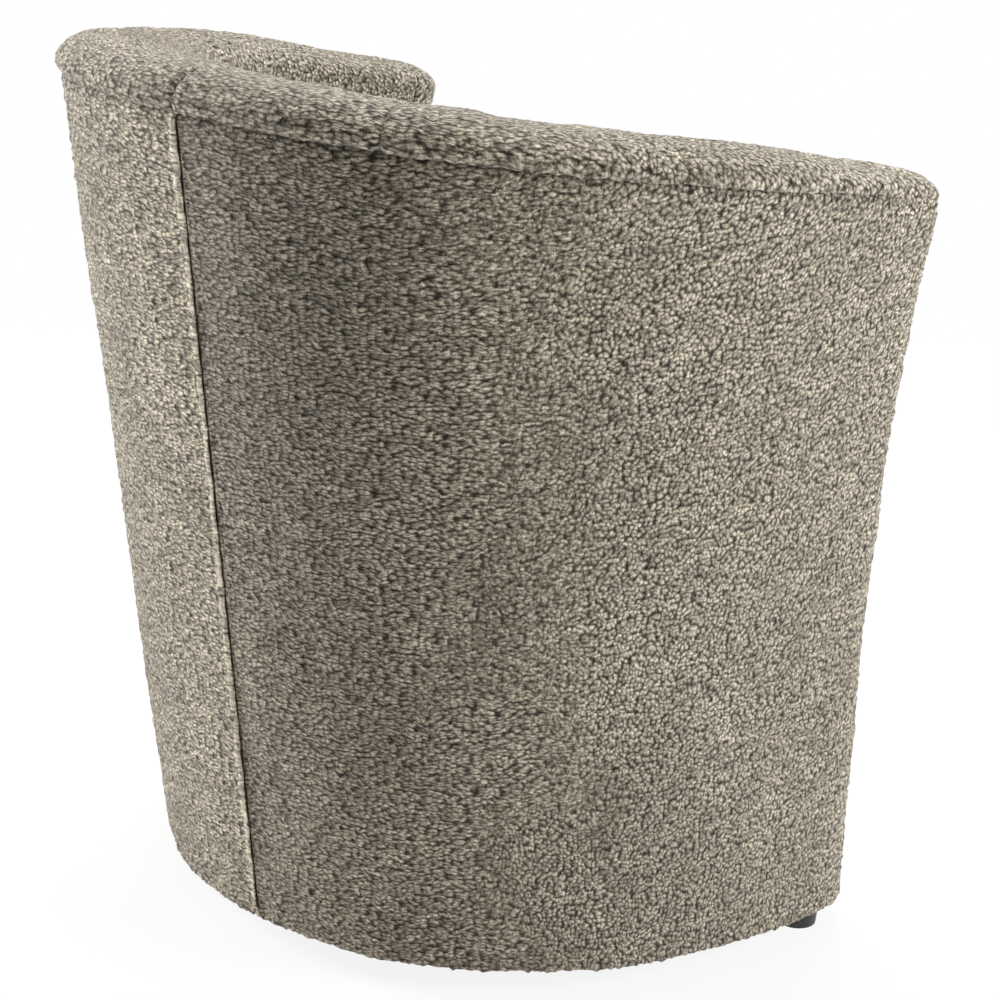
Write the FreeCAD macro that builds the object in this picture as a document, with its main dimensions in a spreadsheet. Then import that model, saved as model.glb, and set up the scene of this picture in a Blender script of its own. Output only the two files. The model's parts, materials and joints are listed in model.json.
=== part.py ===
import FreeCAD, Part
import Sketcher
import math
import os

from FreeCAD import Placement, Rotation, Vector

# Driving dimensions in millimetres; degrees where the name says angle, ratios where it says share or power
SIZES = [
    # Outer skin of the tub: plan at the hem and at the rim seam
    ("foot_height", "22"),
    ("base_half_width", "320"),
    ("rim_half_width", "342"),
    ("base_back", "225"),
    ("rim_back", "283"),
    ("base_round", "349"),
    ("rim_round", "360"),
    ("base_power", "2.1"),
    ("rim_power", "2.3"),
    ("base_front", "158"),
    ("rim_front", "240"),
    ("rim_toe", "10"),
    ("front_lean_share", "0.26"),
    ("front_sweep_power", "3.5"),
    # Rim seam line and padded rim
    ("seam_front_height", "604"),
    ("seam_back_height", "712"),
    ("rim_height", "31"),
    ("rim_overhang", "5"),
    ("base_wall", "106"),
    ("rim_wall", "98"),
    ("rim_roll", "36"),
    ("arm_corner_radius", "42"),
    ("front_wrap", "40"),
    ("seam_angle_inner", "31"),
    ("seam_angle_outer", "68"),
    # Layers of the upholstery
    ("cover_thickness", "3"),
    ("layer_gap", "0.3"),
    ("board_thickness", "3"),
    ("inner_foam", "38"),
    ("front_foam", "12"),
    # Wooden frame
    ("ply_thickness", "18"),
    ("ring_width", "125"),
    ("bow_width", "57"),
    ("bow_tail", "40"),
    ("end_clearance", "8"),
    ("ledge_inset", "88"),
    ("rail_height", "58"),
    ("deck_height", "300"),
    ("post_width", "44"),
    ("post_ease", "2"),
    ("panel_thickness", "20"),
    ("front_rail_depth", "28"),
    # Bowed front below the seat
    ("border_front", "262"),
    ("border_clearance", "2.5"),
    ("border_flare_share", "0.5"),
    ("border_board", "15"),
    # Seat
    ("seat_front", "288"),
    ("seat_height", "440"),
    ("seat_gap", "2"),
    ("seat_draw_in", "8"),
    ("seat_edge_roll", "110"),
    ("seat_edge_power", "2.8"),
    ("seat_waist_share", "0.42"),
    ("pad_thickness", "4"),
    ("pad_margin", "14"),
    ("pad_nose", "12"),
    ("strap_width", "50"),
    ("strap_thickness", "1.6"),
    ("strap_ease", "4"),
    ("strap_end_inset", "62"),
    # Feet and fasteners
    ("foot_top_diameter", "36"),
    ("foot_bottom_diameter", "30"),
    ("front_foot_inset", "28"),
    ("front_foot_setback", "41"),
    ("rear_foot_inset", "90"),
    ("rear_foot_share", "0.365"),
    ("stud_diameter", "8"),
    ("stud_depth", "14"),
    ("nut_flange_diameter", "24"),
    ("nut_flange_thickness", "2"),
    ("nut_barrel_diameter", "11"),
    ("screw_diameter", "5"),
    ("screw_length", "55"),
    ("screw_head_diameter", "10"),
    ("screw_head_height", "3"),
    ("dust_cover_thickness", "1.5"),
    ("dust_cover_margin", "16"),
]

POSTS = (("back", 0.22), ("side", 0.62), ("front", 1.0))
WALL_LEVELS = (0.0, 0.25, 0.5, 0.68, 0.82, 0.92, 1.0)
OUTLINE_POINTS = 9
EVEN = [step / (OUTLINE_POINTS - 1) for step in range(OUTLINE_POINTS)]
DENSE_STEPS = 240
ROLL_STEPS = 6
PANEL_LEVELS = 8
SEAT_STEPS = 7
BOARD_TOP_SHARE = 0.95
STRAP_COLUMNS = 5
STRAP_ROWS = 3
STRAP_SIDE_ROOM = 1.6
FAR_SHARE = 3

doc = FreeCAD.newDocument("tub_chair")
sheet = doc.addObject("Spreadsheet::Sheet", "Sizes")
for row, (alias, value) in enumerate(SIZES, start=1):
    sheet.set(f"A{row}", alias)
    sheet.set(f"B{row}", value)
    sheet.setAlias(f"B{row}", alias)
doc.recompute()

parts = []


def size(alias):
    return float(getattr(sheet, alias))


def bind(obj, **expressions):
    for prop, expression in expressions.items():
        obj.setExpression(prop.replace("__", "."), expression)
    return obj


def sub_part(obj, label):
    obj.Label = label
    parts.append(obj)
    return obj


def feature(name, shape):
    obj = doc.addObject("Part::Feature", name)
    obj.Shape = shape
    obj.Placement = Placement()
    return obj


def boolean(kind, name, base, tool):
    obj = doc.addObject(f"Part::{kind}", name)
    obj.Base = base
    obj.Tool = tool
    return obj


def compound(name, members):
    obj = doc.addObject("Part::Compound", name)
    obj.Links = members
    return obj


def mix(low, high, share):
    return low + (high - low) * share


def far():
    """A length well past every piece, for cutting shapes."""
    return FAR_SHARE * size("rim_half_width")


def box(name, x, y, z, length, width, height):
    obj = doc.addObject("Part::Box", name)
    obj.Length = length
    obj.Width = width
    obj.Height = height
    obj.Placement = Placement(Vector(x, y, z), Rotation())
    return obj


def slab(name, low, high):
    """Cutting block over the whole plan between two heights."""
    return box(name, -far(), -far(), low, 2 * far(), 2 * far(), high - low)


# The tub's outer line in plan, at a share of the height from hem to rim seam
def seam_height(y):
    share = (y + size("rim_front")) / (size("rim_back") + size("rim_front"))
    return mix(size("seam_front_height"), size("seam_back_height"), share)


def front_line(share):
    lean = size("front_lean_share")
    sweep = lean * share + (1 - lean) * share ** size("front_sweep_power")
    return -mix(size("base_front"), size("rim_front"), sweep)


def wall(share):
    return mix(size("base_wall"), size("rim_wall"), share)


def dense_outline(share):
    width = mix(size("base_half_width"), size("rim_half_width"), share)
    depth = mix(size("base_round"), size("rim_round"), share)
    power = mix(size("base_power"), size("rim_power"), share)
    centre = mix(size("base_back"), size("rim_back"), share) - depth
    front = min(front_line(share), centre - 1.0)
    toe = size("rim_toe") * share * share
    points = []
    for step in range(DENSE_STEPS + 1):
        angle = math.pi / 2 * step / DENSE_STEPS
        x = width * math.sin(angle) ** (2 / power)
        y = centre + depth * math.cos(angle) ** (2 / power)
        points.append((x, y))
    for step in range(1, DENSE_STEPS + 1):
        along = step / DENSE_STEPS
        points.append((width - toe * along * along, mix(centre, front, along)))
    return points


def clipped_outline(share, stop):
    """The dense line, ended exactly at y = stop."""
    line = dense_outline(share)
    kept = [line[0]]
    for (ax, ay), (bx, by) in zip(line, line[1:]):
        if by <= stop:
            kept.append((mix(ax, bx, (ay - stop) / (ay - by)), stop))
            break
        kept.append((bx, by))
    return kept


def half_outline(share, inset, stop, fractions=EVEN):
    """Points at fractions of the +X line from the centre back to y = stop, moved inward by inset."""
    dense = clipped_outline(share, stop)
    lengths = [0.0]
    for (ax, ay), (bx, by) in zip(dense, dense[1:]):
        lengths.append(lengths[-1] + math.hypot(bx - ax, by - ay))
    result = []
    index = 0
    for fraction in fractions:
        target = lengths[-1] * fraction
        while index < len(dense) - 2 and lengths[index + 1] < target:
            index += 1
        (ax, ay), (bx, by) = dense[index], dense[index + 1]
        run = lengths[index + 1] - lengths[index]
        along = (target - lengths[index]) / run
        nx, ny = -(by - ay) / run, (bx - ax) / run
        if fraction == 0:
            nx, ny = 0.0, 1.0
        result.append((mix(ax, bx, along) - inset * nx, mix(ay, by, along) - inset * ny, nx, ny))
    return result


def raised(x, y, share, lift):
    hem = size("foot_height")
    return Vector(x, y, mix(hem, seam_height(y), share) + lift)


def spline(points):
    curve = Part.BSplineCurve()
    curve.interpolate(Points=points, Parameters=[float(i) for i in range(len(points))])
    return curve.toShape()


def full_outline(share, inset, stop, lift, level=None):
    """Points of the whole line, from the -X arm round the back to the +X arm."""
    level = share if level is None else level
    half = half_outline(share, inset, stop)
    right = [raised(-x, y, level, lift) for x, y, _, _ in reversed(half)]
    left = [raised(x, y, level, lift) for x, y, _, _ in half[1:]]
    return right + left


def block_wire(share, inset, stop, lift=0.0):
    """Closed line of the space inside an inset, with a straight chord across the front."""
    points = full_outline(share, inset, stop, lift)
    return Part.Wire([spline(points), Part.makeLine(points[-1], points[0])])


def strip_wire(share, outer_inset, inner_inset, stop, lift=0.0, level=None):
    """Horseshoe with square ends."""
    outer = full_outline(share, outer_inset, stop, lift, level)
    inner = full_outline(share, inner_inset, stop, lift, level)
    return ring_wire(outer, inner)


def ring_wire(outer, inner):
    """Closed line out along one curve and back along the other."""
    back = list(reversed(inner))
    first_end = Part.makeLine(outer[-1], back[0])
    last_end = Part.makeLine(back[-1], outer[0])
    return Part.Wire([spline(outer), first_end, spline(back), last_end])


def horseshoe_wire(share, outer_inset, inner_inset, lift=0.0):
    """Horseshoe with rounded arm ends, both faces moved inward by their own inset."""
    radius = size("arm_corner_radius")
    stop = front_line(share) + radius
    outer = half_outline(share, outer_inset, stop)
    inner = half_outline(share, wall(share) - inner_inset, stop)

    def corner(end, radius_here, turn):
        x, y, nx, ny = end
        cx, cy = x - turn * radius_here * nx, y - turn * radius_here * ny
        start = math.atan2(turn * ny, turn * nx)
        finish = -math.pi / 2
        if start - finish > math.pi:
            start -= 2 * math.pi
        angles = (start, (start + finish) / 2, finish)
        return [(cx + radius_here * math.cos(a), cy + radius_here * math.sin(a)) for a in angles]

    outer_corner = corner(outer[-1], radius - max(outer_inset, 0.0), 1)
    inner_corner = corner(inner[-1], radius - inner_inset, -1)

    def edge_set(sign):
        o = [raised(sign * x, y, share, lift) for x, y in outer_corner]
        i = [raised(sign * x, y, share, lift) for x, y in inner_corner]
        return [Part.Arc(*o).toShape(), Part.makeLine(o[-1], i[-1]), Part.Arc(*reversed(i)).toShape()]

    outer_line = spline(full_outline(share, outer_inset, stop, lift))
    inner_line = spline(list(reversed(full_outline(share, wall(share) - inner_inset, stop, lift))))
    edges = [outer_line] + edge_set(1) + [inner_line] + edge_set(-1)
    return Part.Wire(Part.__sortEdges__(edges))


def loft(wires, ruled=False):
    return Part.makeLoft(wires, True, ruled)


# Padded wall: skin moved inward by one inset all round, with its rounded rim
def rim_profile():
    """(lift, outer inset, inner inset) of the rim's elliptic roll, from the seam to the crest."""
    height, over, roll = size("rim_height"), size("rim_overhang"), size("rim_roll")
    steps = []
    for step in range(ROLL_STEPS + 1):
        angle = math.pi / 2 * step / ROLL_STEPS
        drawn = roll * (1 - math.cos(angle))
        steps.append((height * math.sin(angle), drawn - over * math.cos(angle), drawn))
    return steps


def padded_wall(name, inset):
    body = feature(name + "_body", loft([horseshoe_wire(t, inset, inset) for t in WALL_LEVELS]))
    height = size("rim_height")
    wires = []
    for lift, outer, inner in rim_profile():
        scaled = lift * (height - inset) / height
        wires.append(horseshoe_wire(1.0, outer + inset, inner + inset, scaled))
    rim = feature(name + "_rim", loft(wires))
    return boolean("Fuse", name, body, rim)


def sector(name, side, start, end):
    """Prism between two angles from the centre back, on the +X side (1) or the -X side (-1)."""
    obj = doc.addObject("Part::Cylinder", name)
    obj.Radius = far()
    obj.Height = 2 * far()
    bind(obj, Angle=f"{end} - ({start})")
    turn = f"90 - ({end})" if side > 0 else f"90 + ({start})"
    obj.Placement = Placement(Vector(0, 0, -far()), Rotation(Vector(0, 0, 1), 0))
    bind(obj, Placement__Rotation__Angle=turn, Placement__Base__y="Sizes.rim_back - Sizes.rim_round")
    return obj


def build_upholstery():
    cover, gap = size("cover_thickness"), size("layer_gap")
    outside = padded_wall("skin_outside", 0.0)
    inside = padded_wall("skin_inside", cover)
    foam_outside = padded_wall("foam_outside", cover + gap)
    shell = boolean("Cut", "cover_shell", outside, inside)

    wrap = size("front_wrap")
    slope = math.atan2(
        size("seam_back_height") - size("seam_front_height"), size("rim_back") + size("rim_front")
    )
    wires = [block_wire(t, wall(t) / 2, front_line(t) + wrap) for t in WALL_LEVELS]
    inner_block = feature("inner_block", loft(wires))
    behind = front_line(1.0) + wrap
    above = box("above_seam", 0, 0, 0, 2 * far(), 2 * far(), far())
    above.Placement = Placement(
        Vector(-far(), behind, seam_height(behind)), Rotation(Vector(1, 0, 0), math.degrees(slope))
    )
    inner_zone = boolean("Fuse", "inner_zone", inner_block, above)
    outer_shell = boolean("Cut", "outer_shell", shell, inner_zone)
    inner_shell = boolean("Common", "inner_shell", shell, inner_zone)

    deck = slab("above_deck", size("deck_height"), far())
    bind(deck, Placement__Base__z="Sizes.deck_height")
    inner_cover = boolean("Common", "inner_cover", inner_shell, deck)

    for side, word in ((1, "left"), (-1, "right")):
        half = sector(f"half_{word}", side, "0", "180")
        sub_part(boolean("Common", f"outer_cover_{word}", outer_shell, half), f"outer_cover_{word}")
        spans = (
            ("centre", "0", "Sizes.seam_angle_inner"),
            ("middle", "Sizes.seam_angle_inner", "Sizes.seam_angle_outer"),
            ("arm", "Sizes.seam_angle_outer", "180"),
        )
        for place, start, end in spans:
            wedge = sector(f"wedge_{place}_{word}", side, start, end)
            label = f"inner_panel_{place}_{word}"
            sub_part(boolean("Common", label, inner_cover, wedge), label)

    build_foam(foam_outside)


def build_foam(foam_outside):
    cover, gap = size("cover_thickness"), size("layer_gap")
    inner_depth = cover + gap + size("inner_foam")
    front_depth = cover + gap + size("front_foam")
    clear = 2 * size("rim_overhang")
    wires = []
    for t in WALL_LEVELS:
        wires.append(strip_wire(t, -clear, wall(t) - inner_depth, front_line(t) + front_depth))
    core = feature("foam_core", loft(wires))
    foam = boolean("Cut", "foam_over_core", foam_outside, core)
    under = slab("under_deck", 0, size("deck_height"))
    bind(under, Height="Sizes.deck_height", Placement__Base__y="Sizes.front_wrap - Sizes.base_front")
    foam = boolean("Cut", "foam_above_deck", foam, under)
    low = slab("under_foam", 0, ring_top() + gap)
    body = boolean("Cut", "foam_body", foam, low)
    outer = "Sizes.seam_angle_outer"
    back = sector("wedge_back_foam", 1, f"-{outer}", outer)
    sub_part(boolean("Common", "back_foam", body, back), "back_foam")
    for side, word in ((1, "left"), (-1, "right")):
        wedge = sector(f"wedge_arm_foam_{word}", side, outer, "180")
        sub_part(boolean("Common", f"arm_foam_{word}", body, wedge), f"arm_foam_{word}")


def ring_bottom():
    return size("foot_height") + size("dust_cover_thickness")


def ring_top():
    return ring_bottom() + size("ply_thickness")


def rail_top():
    """Top of the seat rails: straps and felt pad fill the room up to the deck."""
    gaps = 4 * size("layer_gap")
    return size("deck_height") - size("pad_thickness") - 2 * size("strap_thickness") - gaps


def frame_inset():
    """Depth from the skin to the frame: cover and outer board, each with its gap."""
    return size("cover_thickness") + size("board_thickness") + 2 * size("layer_gap")


def cavity_inset(share):
    """Depth from the skin to the inner board's back."""
    padding = size("cover_thickness") + size("inner_foam") + size("board_thickness") + 3 * size("layer_gap")
    return wall(share) - padding


def wrap_line():
    """Plane behind the part of the arm that the outer cover wraps, at the hem."""
    return size("front_wrap") - size("base_front")


def share_at(y, z):
    hem = size("foot_height")
    return (z - hem) / (seam_height(y) - hem)


def post_line():
    """Centre line of the front posts, just behind the wrapped arm fronts."""
    return wrap_line() + size("layer_gap") + size("post_width") / 2


def at_height(fraction, z, depth, along=0.0, stop=None):
    """Point in the wall at a fraction of the line from the centre back to y = stop."""
    stop = post_line() if stop is None else stop
    y = 0.0
    for _ in range(4):
        share = share_at(y, z)
        line = half_outline(share, 0.0, stop, (abs(fraction),))
        x, y, nx, ny = line[0]
    inset = depth(share) if callable(depth) else depth
    sign = -1 if fraction < 0 else 1
    return Vector(sign * (x - inset * nx + along * ny), y - inset * ny - along * nx, z)


def polygon(points):
    return Part.makePolygon(list(points) + [points[0]])


def prism(name, face, height, z=None):
    """Upright extrusion of a flat outline, its height bound to the sheet."""
    outline = feature(name + "_outline", face)
    if z is not None:
        outline.Placement = Placement(Vector(0, 0, z), Rotation())
    obj = doc.addObject("Part::Extrusion", name)
    obj.Base = outline
    obj.DirMode = "Custom"
    obj.Dir = Vector(0, 0, 1)
    obj.Solid = True
    return bind(obj, LengthFwd=height)


def cylinder(name, diameter, height, x, y, z):
    """Upright round pin or bore; diameter and height are expressions."""
    obj = doc.addObject("Part::Cylinder", name)
    obj.Placement = Placement(Vector(x, y, z), Rotation())
    return bind(obj, Radius=f"({diameter}) / 2", Height=height)


# Bottom ring, posts, rails and top rail
def foot_places():
    """(name, x, y) of each foot: in from the hem at the arm fronts and under the back of the ring."""
    front = size("front_foot_setback") - size("base_front")
    side, _, _, _ = half_outline(0.0, 0.0, front, (1.0,))[0]
    side -= size("front_foot_inset")
    place = half_outline(0.0, size("rear_foot_inset"), post_line(), (size("rear_foot_share"),))
    inward, back, _, _ = place[0]
    return (
        ("front_left", side, front),
        ("front_right", -side, front),
        ("rear_left", inward, back),
        ("rear_right", -inward, back),
    )


def post_places():
    for name, fraction in POSTS:
        for sign, word in ((1, "left"), (-1, "right")):
            yield f"{name}_post_{word}", sign * fraction


def post_centre(fraction):
    depth = (frame_inset() + cavity_inset(0.0)) / 2
    return at_height(fraction, ring_top(), depth)


def build_base():
    skin = size("cover_thickness") + size("layer_gap")
    hem = size("foot_height")
    arms = Part.Face(horseshoe_wire(0.0, skin, skin + size("post_ease")))
    strip = Part.Face(strip_wire(0.0, skin, size("ring_width"), wrap_line() + 2 * size("end_clearance")))
    shift = ring_bottom() - hem
    arms_plate = prism("ring_arms", arms, "Sizes.ply_thickness", shift)
    strip_plate = prism("ring_strip", strip, "Sizes.ply_thickness", shift)
    face = "Sizes.cover_thickness + Sizes.layer_gap"
    bow = border_layer(
        "ring_bow", face, f"{face} + Sizes.bow_width", ring_bottom(), ring_top(), "Sizes.bow_tail"
    )
    blank = boolean("Fuse", "ring_with_arms", arms_plate, strip_plate)
    blank = boolean("Fuse", "ring_blank", blank, bow)
    through = "Sizes.deck_height"
    nut_bore = "Sizes.nut_barrel_diameter + Sizes.layer_gap"
    nut_recess = "Sizes.nut_flange_diameter + Sizes.layer_gap"
    screw_bore = "Sizes.screw_diameter + Sizes.layer_gap"
    head_bore = "Sizes.screw_head_diameter + Sizes.layer_gap"
    head_top = ring_bottom() + size("screw_head_height") + size("layer_gap")
    tools = []
    for name, x, y in foot_places():
        recess = ring_top() - size("nut_flange_thickness")
        tools.append(cylinder(f"nut_bore_{name}", nut_bore, through, x, y, 0))
        tools.append(cylinder(f"nut_recess_{name}", nut_recess, through, x, y, recess))
    for name, fraction in post_places():
        at = post_centre(fraction)
        tools.append(cylinder(f"screw_bore_{name}", screw_bore, through, at.x, at.y, 0))
        under_head = head_top - size("deck_height")
        tools.append(cylinder(f"head_bore_{name}", head_bore, through, at.x, at.y, under_head))
    sub_part(boolean("Cut", "base_ring", blank, compound("ring_bores", tools)), "base_ring")

    dust_inset = skin + size("dust_cover_margin")
    sheet_face = Part.Face(block_wire(0.0, dust_inset, wrap_line() + size("end_clearance")))
    rear = prism("dust_rear", sheet_face, "Sizes.dust_cover_thickness")
    front = border_layer(
        "dust_front", "Sizes.dust_cover_margin", "0", hem, ring_bottom(), "Sizes.bow_tail"
    )
    blank = boolean("Fuse", "dust_blank", rear, front)
    holes = [
        cylinder(f"dust_hole_{name}", "Sizes.stud_diameter + Sizes.layer_gap", through, x, y, 0)
        for name, x, y in foot_places()
    ]
    sub_part(boolean("Cut", "dust_cover", blank, compound("dust_holes", holes)), "dust_cover")


def post_corners(fraction, height):
    """Four corners of a post; height gives z for a point's y."""
    half = size("post_width") / 2
    outer = frame_inset() + size("post_ease")
    places = ((outer, -half), (outer, half), (post_inner_inset, half), (post_inner_inset, -half))
    corners = []
    for depth, along in places:
        z = height(0.0)
        for _ in range(6):
            point = at_height(fraction, z, depth, along)
            z = height(point.y)
        corners.append(Vector(point.x, point.y, z))
    return corners


def post_inner_inset(share):
    return cavity_inset(share) - size("post_ease")


def under_top_rail(y):
    return seam_height(y) - size("ply_thickness") - 2 * size("layer_gap")


def build_posts():
    seat_low = rail_top() - size("ply_thickness")
    for name, fraction in post_places():
        bottom = polygon(post_corners(fraction, lambda y: ring_top()))
        middle = polygon(post_corners(fraction, lambda y: seat_low))
        blank = feature(f"lower_{name}_blank", loft([bottom, middle], True))
        place = post_centre(fraction)
        bore = cylinder(
            f"pilot_{name}", "Sizes.screw_diameter", "Sizes.screw_length", place.x, place.y, ring_bottom()
        )
        sub_part(boolean("Cut", f"lower_{name}", blank, bore), f"lower_{name}")
        middle = polygon(post_corners(fraction, lambda y: rail_top()))
        top = polygon(post_corners(fraction, under_top_rail))
        sub_part(feature(f"upper_{name}", loft([middle, top], True)), f"upper_{name}")


def build_seat_ring():
    low = rail_top() - size("ply_thickness")
    stop = wrap_line() + size("end_clearance")
    fractions = [-f for f in reversed(EVEN)] + EVEN[1:]
    outer = [at_height(f, low, frame_inset(), 0.0, stop) for f in fractions]
    inner = [at_height(f, low, size("ledge_inset"), 0.0, stop) for f in fractions]
    sub_part(prism("seat_ring", Part.Face(ring_wire(outer, inner)), "Sizes.ply_thickness"), "seat_ring")

    corners = post_corners(1.0, lambda y: low - size("rail_height"))
    reach = min(point.x for point in corners) - 2 * size("layer_gap")
    beam = box("front_rail", -reach, wrap_line(), low - size("rail_height"), 2 * reach, 1, 1)
    bind(beam, Width="Sizes.front_rail_depth", Height="Sizes.rail_height")
    sub_part(beam, "front_rail")


def build_top_rail():
    gap, thickness = size("layer_gap"), size("ply_thickness")
    low_share = 1.0 - (thickness + gap) / (size("seam_front_height") - size("foot_height"))
    stop = front_line(low_share) + size("arm_corner_radius")
    wires = []
    for share, lift in ((low_share, -gap - thickness), (1.0, -gap)):
        wires.append(strip_wire(share, frame_inset(), cavity_inset(share), stop, lift, 1.0))
    sub_part(feature("top_rail", loft(wires, True)), "top_rail")


def corner_inset(depth):
    """Room that the rounded cover takes beside the panel, at a depth behind the arm front."""
    radius, gap = size("arm_corner_radius"), size("layer_gap")
    inside = radius - size("cover_thickness") - gap
    across = max(radius - depth, 0.0)
    return max(frame_inset(), radius - math.sqrt(inside * inside - across * across) + gap)


def panel_corner(part_way, ahead, inner):
    """One corner of the arm panel at a part of its height from the bottom ring to the top rail."""
    depth = size("cover_thickness") + size("front_foam") + 3 * size("layer_gap")
    y = front_line(0.0)
    for _ in range(6):
        z = mix(ring_top(), under_top_rail(y), part_way)
        share = share_at(y, z)
        y = front_line(share) + depth + ahead
    inset = cavity_inset(share) if inner else corner_inset(depth + ahead)
    x, y, _, _ = half_outline(share, inset, y, (1.0,))[0]
    return Vector(x, y, mix(ring_top(), under_top_rail(y), part_way))


def build_arm_panels():
    thick = size("panel_thickness")
    places = ((0.0, False), (0.55 * thick, False), (thick, False), (thick, True), (0.0, True))
    sections = []
    for level in range(PANEL_LEVELS + 1):
        sections.append([panel_corner(level / PANEL_LEVELS, ahead, inner) for ahead, inner in places])
    for sign, word in ((1, "left"), (-1, "right")):
        wires = [polygon([Vector(sign * p.x, p.y, p.z) for p in corners]) for corners in sections]
        sub_part(feature(f"arm_panel_{word}", loft(wires)), f"arm_panel_{word}")


def build_boards():
    gap = size("layer_gap")
    skin = size("cover_thickness") + gap
    board = size("board_thickness")
    wires = []
    for t in WALL_LEVELS:
        stop = front_line(t) + size("arm_corner_radius")
        wires.append(strip_wire(t, skin, skin + board, stop))
    outer = feature("outer_board_blank", loft(wires))
    above_ring = slab("above_ring", ring_top() + gap, far())
    outer = boolean("Common", "outer_board", outer, above_ring)
    for side, word in ((1, "left"), (-1, "right")):
        half = sector(f"board_half_{word}", side, "0", "180")
        sub_part(boolean("Common", f"outer_board_{word}", outer, half), f"outer_board_{word}")
    wires = []
    for t in WALL_LEVELS:
        back = cavity_inset(t) + gap
        stop = front_line(t) + size("front_wrap")
        wires.append(strip_wire(t, back, back + board, stop))
    inner = feature("inner_board_blank", loft(wires))
    above_deck = slab("board_above_deck", 0, far())
    bind(above_deck, Placement__Base__z="Sizes.deck_height")
    sub_part(boolean("Common", "inner_board", inner, above_deck), "inner_board")


# Bowed front below the seat: it fills the gap between the arms and flares with them
BORDER_HALF = "(Sizes.base_half_width - Sizes.base_wall - Sizes.border_clearance)"
BORDER_BULGE = "(Sizes.border_front - Sizes.base_front + Sizes.front_wrap)"
BORDER_RADIUS = f"(({BORDER_HALF} ^ 2 + {BORDER_BULGE} ^ 2) / (2 * {BORDER_BULGE}))"
ARM_FLARE = "(Sizes.rim_half_width - Sizes.base_half_width + Sizes.base_wall - Sizes.rim_wall)"
BORDER_FLARE = f"({ARM_FLARE} * Sizes.border_flare_share)"


def border_radius(share=0.0):
    """Radius of the bowed face at a share of the height from hem to deck."""
    half = size("base_half_width") - size("base_wall") - size("border_clearance")
    bulge = size("border_front") - size("base_front") + size("front_wrap")
    low = (half * half + bulge * bulge) / (2 * bulge)
    flare = size("rim_half_width") - size("base_half_width") + size("base_wall") - size("rim_wall")
    return low + flare * size("border_flare_share") * share


def border_layer(name, outer_depth, inner_depth, low, high, tail="0"):
    """Part of the bowed front between two depths from its face, ahead of the front rail plus a tail."""
    cones = []
    hem, deck = size("foot_height"), size("deck_height")
    for label, depth in (("outer", outer_depth), ("inner", inner_depth)):
        if label == "inner" and depth == "0":
            continue
        cone = doc.addObject("Part::Cone", f"{name}_{label}")
        cone.Placement = Placement(Vector(0, 0, low), Rotation())
        lower = (low - hem) / (deck - hem)
        upper = (high - hem) / (deck - hem)
        bind(
            cone,
            Radius1=f"{BORDER_RADIUS} + {BORDER_FLARE} * {lower} - ({depth})",
            Radius2=f"{BORDER_RADIUS} + {BORDER_FLARE} * {upper} - ({depth})",
            Placement__Base__y=f"{BORDER_RADIUS} - Sizes.border_front",
        )
        cone.Height = high - low
        cones.append(cone)
    solid = cones[0] if len(cones) == 1 else boolean("Cut", f"{name}_bow", *cones)
    ahead = box(f"{name}_ahead", -far(), -far(), 0, 2 * far(), 1, far())
    bind(ahead, Width=f"{far()} + Sizes.front_wrap - Sizes.base_front - Sizes.layer_gap + {tail}")
    return boolean("Common", name, solid, ahead)


def build_border():
    gap = size("layer_gap")
    top = size("deck_height") - gap
    cover = "Sizes.cover_thickness"
    foam = "Sizes.cover_thickness + Sizes.layer_gap + Sizes.front_foam"
    board = f"{foam} + Sizes.layer_gap + Sizes.border_board"
    layer = border_layer("front_border_cover", "0", cover, size("foot_height"), top)
    sub_part(layer, "front_border_cover")
    layer = border_layer("front_border_foam", f"{cover} + Sizes.layer_gap", foam, ring_top() + gap, top)
    sub_part(layer, "front_border_foam")
    layer = border_layer("front_board", f"{foam} + Sizes.layer_gap", board, ring_top(), rail_top())
    sub_part(layer, "front_board")


# Seat: webbing, felt pad, foam and its cover
def seat_wire(inset, z, front=None):
    """Round-fronted seat outline inside the tub, moved inward by inset."""

    def depth(share):
        return wall(share) + size("seat_gap") + inset

    fractions = [-f for f in reversed(EVEN)] + EVEN[1:]
    back = [at_height(f, z, depth, 0.0, post_line()) for f in fractions]
    nose = Vector(0, inset - size("seat_front") if front is None else -front, z)
    return Part.Wire([spline(back), Part.Arc(back[-1], nose, back[0]).toShape()])


def seat_profile(inset):
    """(inset, height) of the cushion from its drawn-in bottom over its rounded edge to the crown."""
    low = size("deck_height") + size("layer_gap")
    high = size("seat_height") - inset
    waist = mix(low, high, size("seat_waist_share"))
    draw, roll, power = size("seat_draw_in"), size("seat_edge_roll"), size("seat_edge_power")
    levels = [(draw + inset, low), (0.3 * draw + inset, mix(low, waist, 0.5))]
    dense = []
    for step in range(DENSE_STEPS + 1):
        angle = math.pi / 2 * step / DENSE_STEPS
        drawn = roll * (1 - math.cos(angle) ** (2 / power))
        dense.append((drawn + inset, mix(waist, high, math.sin(angle) ** (2 / power))))
    lengths = [0.0]
    for (ax, az), (bx, bz) in zip(dense, dense[1:]):
        lengths.append(lengths[-1] + math.hypot(bx - ax, bz - az))
    for step in range(SEAT_STEPS + 1):
        target = lengths[-1] * step / SEAT_STEPS
        nearest = min(range(len(dense)), key=lambda i: abs(lengths[i] - target))
        levels.append(dense[nearest])
    return levels


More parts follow.
